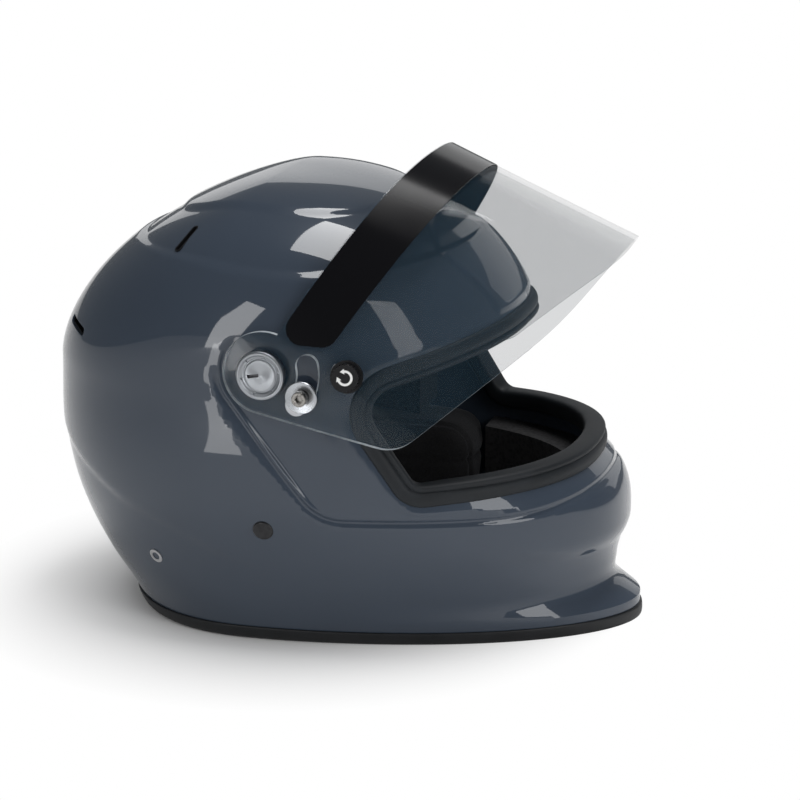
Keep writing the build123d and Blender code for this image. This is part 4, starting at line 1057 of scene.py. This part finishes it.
# Chin strap. Flat woven webbing 24 mm wide, riveted to the hangers inside the shell. The
# right half ends in a sewn eye for the rings, and the left half has a free end.
RIVET = (22.2, 76.3)
WEB_WIDTH, WEB_WALL, WEB_STEP, STRAP_LEVEL = 24.0, 1.6, 1.5, 8.0


def hang(level, inset):
    """Where the strap hangs at a level, across the helmet and up, inside the form."""
    return -float(form_side(RIVET[0], level, inset)), level


def lengths_along(path):
    return np.append(0, np.cumsum(np.linalg.norm(np.diff(path, axis=0), axis=1)))


def ribbon(name, path, width, wall):
    """Webbing along a path across the helmet, with its length and width as a map."""
    path = even_spread(path, max(2, int(lengths_along(path)[-1] / WEB_STEP)))
    along_path = np.gradient(path, axis=0)
    along_path /= np.linalg.norm(along_path, axis=1, keepdims=True)
    across_path = np.stack([-along_path[:, 1], along_path[:, 0]], -1)
    half, thick, edge = width / 2, wall / 2, wall * 0.42
    lower = [(-half, -thick + edge), (-half + edge, -thick), (-half / 2, -thick), (0, -thick),
             (half / 2, -thick), (half - edge, -thick), (half, -thick + edge)]
    section = lower + [(-a, -b) for a, b in lower]
    points = [(RIVET[0] + a, p[0] + n[0] * b, p[1] + n[1] * b) for p, n in zip(path, across_path)
              for a, b in section]
    count, rings = len(section), len(path)
    faces = ring_faces(rings, count)[:-count]
    faces += [list(range(count))[::-1], list(range((rings - 1) * count, rings * count))]
    piece = mesh_object(name, points, faces)
    outward(piece)
    lengths = lengths_along(path)
    weave_map = piece.data.uv_layers.new(name="weave")
    for loop in piece.data.loops:
        ring, place = divmod(loop.vertex_index, count)
        weave_map.data[loop.index].uv = (lengths[ring] * MM, section[place][0] * MM)
    return piece


def woven(name, dark, light):
    """Plain-woven webbing read from the map along its length."""
    material = node_material(name, dark, 0.8, Sheen_Weight=0.3, Sheen_Tint=(0.3, 0.3, 0.32, 1.0))
    tree = material.node_tree
    source = tree.nodes.new("ShaderNodeUVMap")
    source.uv_map = "weave"
    heights = []
    for direction, pitch in (("X", 0.0016), ("Y", 0.0011)):
        wave = tree.nodes.new("ShaderNodeTexWave")
        wave.wave_type, wave.bands_direction = "BANDS", direction
        wave.inputs["Scale"].default_value = WAVE_PERIOD / pitch
        tree.links.new(source.outputs["UV"], wave.inputs["Vector"])
        heights.append(wave.outputs["Fac"])
    crossed = tree.nodes.new("ShaderNodeMath")
    crossed.operation = "MULTIPLY"
    tree.links.new(heights[0], crossed.inputs[0])
    tree.links.new(heights[1], crossed.inputs[1])
    tint(material, crossed.outputs["Value"], dark, light, 0.0, 0.8)
    bump(material, crossed.outputs["Value"], 0.7, 0.0004)
    return material


BEND, EYE_PLACE, EYE_RADIUS, EYE_START, LEFT_END = 6.0, -36.0, 5.0, -43.0, 6.0
bends = [0, BEND, BEND, BEND, BEND, 0]
strap_path = [hang(RIVET[1] + 13, 5.9), hang(60, 5.9), hang(38, 6.0), hang(18, 8.0)]
strap_path.append((strap_path[-1][0] + 3.0, STRAP_LEVEL))
web = woven("black_webbing", (0.008, 0.008, 0.009), (0.026, 0.026, 0.028))
eye_turns = np.radians(np.linspace(180, 180 + 358, 40))
eye_loop = [(EYE_PLACE + EYE_RADIUS * math.cos(a), STRAP_LEVEL + EYE_RADIUS * math.sin(a)) for a in eye_turns]
right_path = np.vstack([rounded(strap_path + [(EYE_START, STRAP_LEVEL)], bends), eye_loop])
left_path = rounded(strap_path + [(LEFT_END, STRAP_LEVEL)], bends)
right_strap = ribbon("chin_webbing_right", right_path, WEB_WIDTH, WEB_WALL)
left_strap = ribbon("chin_webbing_left", left_path, WEB_WIDTH, WEB_WALL)
left_strap.data.transform(Matrix.Diagonal((1, -1, 1, 1)))
outward(left_strap)
for strap, node in ((right_strap, "chin_strap_right"), (left_strap, "chin_strap_left")):
    paint(strap, web)
    smooth(strap, 50)
    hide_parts(node)
    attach(strap, "helmet")

# Strap pads. Soft knitted sleeves slid over the level runs of the webbing, sewn in three
# panels and drawn in at both ends.
SLEEVE_START, SLEEVE_LENGTH, SLEEVE_STATIONS, SLEEVE_STEPS = -47.0, 36.0, 37, 40
SLEEVE_HALF, SLEEVE_RISE, SLEEVE_POWER = 16.3, 3.95, 3.4
BORE_HALF, BORE_RISE, BORE_POWER = 12.6, 1.3, 6.0
SLEEVE_SEAMS, SEAM_SHARE = (0.33, 0.67), 0.018


def sleeve(name, hand):
    """A crowned tube with a flat bore, its outside and bore in one closed skin."""
    rings = []
    for share in np.linspace(0, 1, SLEEVE_STATIONS):
        swollen = 0.80 + 0.20 * math.sin(math.pi * min(share, 1 - share, 0.125) / 0.25)
        groove = 0.10 * sum(math.exp(-((share - place) / SEAM_SHARE) ** 2) for place in SLEEVE_SEAMS)
        rings.append((SLEEVE_START - SLEEVE_LENGTH * share, SLEEVE_HALF * (swollen - groove * 0.2),
                      SLEEVE_RISE * (swollen - groove)))
    bore = [(y, BORE_HALF, BORE_RISE) for y, _, _ in rings[::-1]]
    turns = np.linspace(0, 2 * np.pi, SLEEVE_STEPS, endpoint=False)
    points = []
    for group, power in ((rings, SLEEVE_POWER), (bore, BORE_POWER)):
        for y, wide, high in group:
            x = RIVET[0] + wide * bowed(np.cos(turns), power)
            z = STRAP_LEVEL + high * bowed(np.sin(turns), power)
            points += [(a, hand * y, b) for a, b in zip(x, z)]
    piece = mesh_object(name, points, ring_faces(2 * SLEEVE_STATIONS, SLEEVE_STEPS))
    outward(piece)
    smooth(piece, 70)
    return piece


for hand, side in ((1, "right"), (-1, "left")):
    pad = sleeve("strap_sleeve_" + side, hand)
    paint(pad, knit)
    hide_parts("strap_pad_" + side)
    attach(pad, "helmet")


# Stitching. Short bonded thread stitches in a box that closes the strap's eye, on both
# faces of the webbing.
def stitch_tree(material):
    """Node tree that sets short stitches end to end along a line."""
    tree = bpy.data.node_groups.new("stitch_row", "GeometryNodeTree")
    sockets = {}
    for label, kind in (("Line", "NodeSocketGeometry"), ("Pitch", "NodeSocketFloat"),
                        ("Stitch length", "NodeSocketFloat"), ("Thread radius", "NodeSocketFloat")):
        sockets[label] = tree.interface.new_socket(label, in_out="INPUT", socket_type=kind)
    tree.interface.new_socket("Stitches", in_out="OUTPUT", socket_type="NodeSocketGeometry")
    start, end = tree.nodes.new("NodeGroupInput"), tree.nodes.new("NodeGroupOutput")
    spread = tree.nodes.new("GeometryNodeResampleCurve")
    spread.mode = "LENGTH"
    thread = tree.nodes.new("GeometryNodeMeshUVSphere")
    thread.inputs["Segments"].default_value, thread.inputs["Rings"].default_value = 6, 4
    stretch = tree.nodes.new("ShaderNodeCombineXYZ")
    shape = tree.nodes.new("GeometryNodeTransform")
    tangent = tree.nodes.new("GeometryNodeInputTangent")
    aim = tree.nodes.new("FunctionNodeAlignRotationToVector")
    aim.axis = "Z"
    instances = tree.nodes.new("GeometryNodeInstanceOnPoints")
    realize = tree.nodes.new("GeometryNodeRealizeInstances")
    coloured = tree.nodes.new("GeometryNodeSetMaterial")
    coloured.inputs["Material"].default_value = material
    thread.inputs["Radius"].default_value = 1.0
    link = tree.links.new
    link(start.outputs["Line"], spread.inputs["Curve"])
    link(start.outputs["Pitch"], spread.inputs["Length"])
    link(start.outputs["Thread radius"], stretch.inputs["X"])
    link(start.outputs["Thread radius"], stretch.inputs["Y"])
    link(start.outputs["Stitch length"], stretch.inputs["Z"])
    link(thread.outputs["Mesh"], shape.inputs["Geometry"])
    link(stretch.outputs["Vector"], shape.inputs["Scale"])
    link(tangent.outputs["Tangent"], aim.inputs["Vector"])
    link(spread.outputs["Curve"], instances.inputs["Points"])
    link(shape.outputs["Geometry"], instances.inputs["Instance"])
    link(aim.outputs["Rotation"], instances.inputs["Rotation"])
    link(instances.outputs["Instances"], realize.inputs["Geometry"])
    link(realize.outputs["Geometry"], coloured.inputs["Geometry"])
    link(coloured.outputs["Geometry"], end.inputs["Stitches"])
    return tree, {label: socket.identifier for label, socket in sockets.items()}


stitches, stitch_inputs = stitch_tree(flecked("bonded_thread", (0.05, 0.05, 0.052), 0.5, 2500.0, 2.0,
                                              ((0.035, 0.035, 0.037), (0.075, 0.075, 0.078))))


def stitch_rows(name, lines, pitch, length, radius):
    """Stitches along lines of points in millimetres, as one plain mesh."""
    curve = bpy.data.curves.new(name, "CURVE")
    curve.dimensions = "3D"
    for line in lines:
        spline = curve.splines.new("POLY")
        spline.points.add(len(line) - 1)
        for point, place in zip(spline.points, line):
            point.co = (*(np.array(place) * MM), 1)
    holder = linked(name + "_line", curve)
    rows = holder.modifiers.new("rows", "NODES")
    rows.node_group = stitches
    for label, value in (("Pitch", pitch), ("Stitch length", length), ("Thread radius", radius)):
        rows[stitch_inputs[label]] = value * MM
    bpy.context.view_layer.update()
    evaluated = holder.evaluated_get(bpy.context.evaluated_depsgraph_get())
    mesh = bpy.data.meshes.new_from_object(evaluated)
    holder.modifiers.clear()
    bpy.data.objects.remove(holder)
    piece = linked(name, mesh)
    piece.data.shade_smooth()
    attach(piece, "helmet")


x0, x1, y0, y1 = RIVET[0] - 9.5, RIVET[0] + 9.5, -46.5, -42.3
thread_out = WEB_WALL / 2 + 0.05
eye_lines = []
for level in (STRAP_LEVEL + thread_out, STRAP_LEVEL - thread_out):
    eye_lines += [[(x0, y0, level), (x1, y0, level)], [(x0, y1, level), (x1, y1, level)],
                  [(x0, y0, level), (x0, y1, level)], [(x1, y0, level), (x1, y1, level)]]
stitch_rows("eye_stitches", eye_lines, 2.2, 0.85, 0.28)


# Camera. On the helmet's right side, a little ahead of it and above it, with the long lens
# of a product picture.
TARGET = Vector((0.0671, 0.0, 0.1226))
AZIMUTH, ELEVATION, DISTANCE = 15.85, 15.44, 1.5


def direction(azimuth, elevation):
    """The way out from the helmet at degrees round from its right side to its front, and up."""
    a, e = math.radians(azimuth), math.radians(elevation)
    return Vector((math.sin(a) * math.cos(e), -math.cos(a) * math.cos(e), math.sin(e)))


towards = direction(AZIMUTH, ELEVATION)
camera = linked("camera", bpy.data.cameras.new("camera"))
camera.location = TARGET + towards * DISTANCE
camera.rotation_euler = (-towards).to_track_quat("-Z", "Y").to_euler()
camera.data.lens, camera.data.sensor_width = 112.05, 36.0
camera.data.clip_start = 0.05
bpy.context.scene.camera = camera

# Floor. A plain white sweep that keeps the helmet's soft shadow and runs out into white.
FLOOR_REACH, SHADOW_START, SHADOW_END = 3.0, 0.10, 0.21
floor = mesh_object("floor", [(x * FLOOR_REACH, y * FLOOR_REACH, 0)
                              for x, y in ((-1, -1), (1, -1), (1, 1), (-1, 1))], [[0, 1, 2, 3]], scale=1.0)
paper = node_material("paper", (0.93, 0.93, 0.93), 0.9, Specular_IOR_Level=0.0)
tree = paper.node_tree
place = tree.nodes.new("ShaderNodeTexCoord")
length = tree.nodes.new("ShaderNodeVectorMath")
length.operation = "LENGTH"
fade_out = tree.nodes.new("ShaderNodeMapRange")
fade_out.inputs["From Min"].default_value = SHADOW_START
fade_out.inputs["From Max"].default_value = SHADOW_END
ray = tree.nodes.new("ShaderNodeLightPath")
only_seen = tree.nodes.new("ShaderNodeMath")
only_seen.operation = "MULTIPLY"
glow = tree.nodes.new("ShaderNodeEmission")
glow.inputs["Color"].default_value = (1, 1, 1, 1)
mix = tree.nodes.new("ShaderNodeMixShader")
tree.links.new(place.outputs["Object"], length.inputs[0])
tree.links.new(length.outputs["Value"], fade_out.inputs["Value"])
tree.links.new(fade_out.outputs["Result"], only_seen.inputs[0])
tree.links.new(ray.outputs["Is Camera Ray"], only_seen.inputs[1])
tree.links.new(only_seen.outputs["Value"], mix.inputs["Fac"])
tree.links.new(tree.nodes["Principled BSDF"].outputs["BSDF"], mix.inputs[1])
tree.links.new(glow.outputs["Emission"], mix.inputs[2])
tree.links.new(mix.outputs["Shader"], tree.nodes["Material Output"].inputs["Surface"])
floor.data.materials.append(paper)


# Light. A leaning strip box at the left that goes on along the floor, an upright one at the
# right, a long box overhead and a low sweep behind.
def soft_box(name, place, turn, width, height, radiance, seen=True):
    """A rectangular soft light of an even brightness."""
    lamp = linked(name, bpy.data.lights.new(name, "AREA"))
    lamp.data.shape, lamp.data.size, lamp.data.size_y = "RECTANGLE", width, height
    lamp.data.energy = radiance * math.pi * width * height
    lamp.location, lamp.rotation_euler = place, turn
    lamp.visible_camera = seen


def round_the_helmet(azimuth, elevation, reach, lean=0.0):
    """A place in a direction seen from the helmet, and the turn that aims a light back."""
    away = direction(azimuth, elevation)
    aim = (-away).to_track_quat("-Z", "Y") @ Quaternion((0, 0, 1), math.radians(-lean))
    return Vector((0, 0, 0.12)) + away * reach, aim.to_euler()


soft_box("left_strip", *round_the_helmet(-15, 6.5, 1.5, 26), 0.20, 0.74, 5.0)
soft_box("right_strip", *round_the_helmet(57, 19, 2.0), 0.55, 1.2, 4.0)
soft_box("back_sweep", *round_the_helmet(180, 14, 2.6), 3.6, 0.9, 0.7)
soft_box("top_box", (0.34, 0.40, 2.1), (0, 0, 0), 0.6, 1.7, 8.0)
soft_box("floor_strip", (-0.41, -1.23, 0.004), (math.pi, 0, math.radians(-20)), 0.13, 1.1, 3.4, seen=False)

# Room. White to the camera and through clear pieces, dim in reflections, and a soft fill.
world = bpy.data.worlds.new("studio")
world.use_nodes = True
tree = world.node_tree
fill, bright, dim = (tree.nodes["Background"], tree.nodes.new("ShaderNodeBackground"),
                     tree.nodes.new("ShaderNodeBackground"))
for node, colour, strength in ((fill, (1, 1, 1, 1), 0.40), (bright, (1, 1, 1, 1), 1.0),
                               (dim, (0.9, 0.95, 1, 1), 0.12)):
    node.inputs["Color"].default_value, node.inputs["Strength"].default_value = colour, strength
ray = tree.nodes.new("ShaderNodeLightPath")
seen = tree.nodes.new("ShaderNodeMath")
seen.operation, seen.use_clamp = "ADD", True
room = tree.nodes.new("ShaderNodeMixShader")
mix = tree.nodes.new("ShaderNodeMixShader")
tree.links.new(ray.outputs["Is Glossy Ray"], room.inputs["Fac"])
tree.links.new(fill.outputs["Background"], room.inputs[1])
tree.links.new(dim.outputs["Background"], room.inputs[2])
tree.links.new(ray.outputs["Is Camera Ray"], seen.inputs[0])
tree.links.new(ray.outputs["Is Transmission Ray"], seen.inputs[1])
tree.links.new(seen.outputs["Value"], mix.inputs["Fac"])
tree.links.new(room.outputs["Shader"], mix.inputs[1])
tree.links.new(bright.outputs["Background"], mix.inputs[2])
tree.links.new(mix.outputs["Shader"], tree.nodes["World Output"].inputs["Surface"])
bpy.context.scene.world = world
bpy.context.scene.view_settings.view_transform = "Standard"
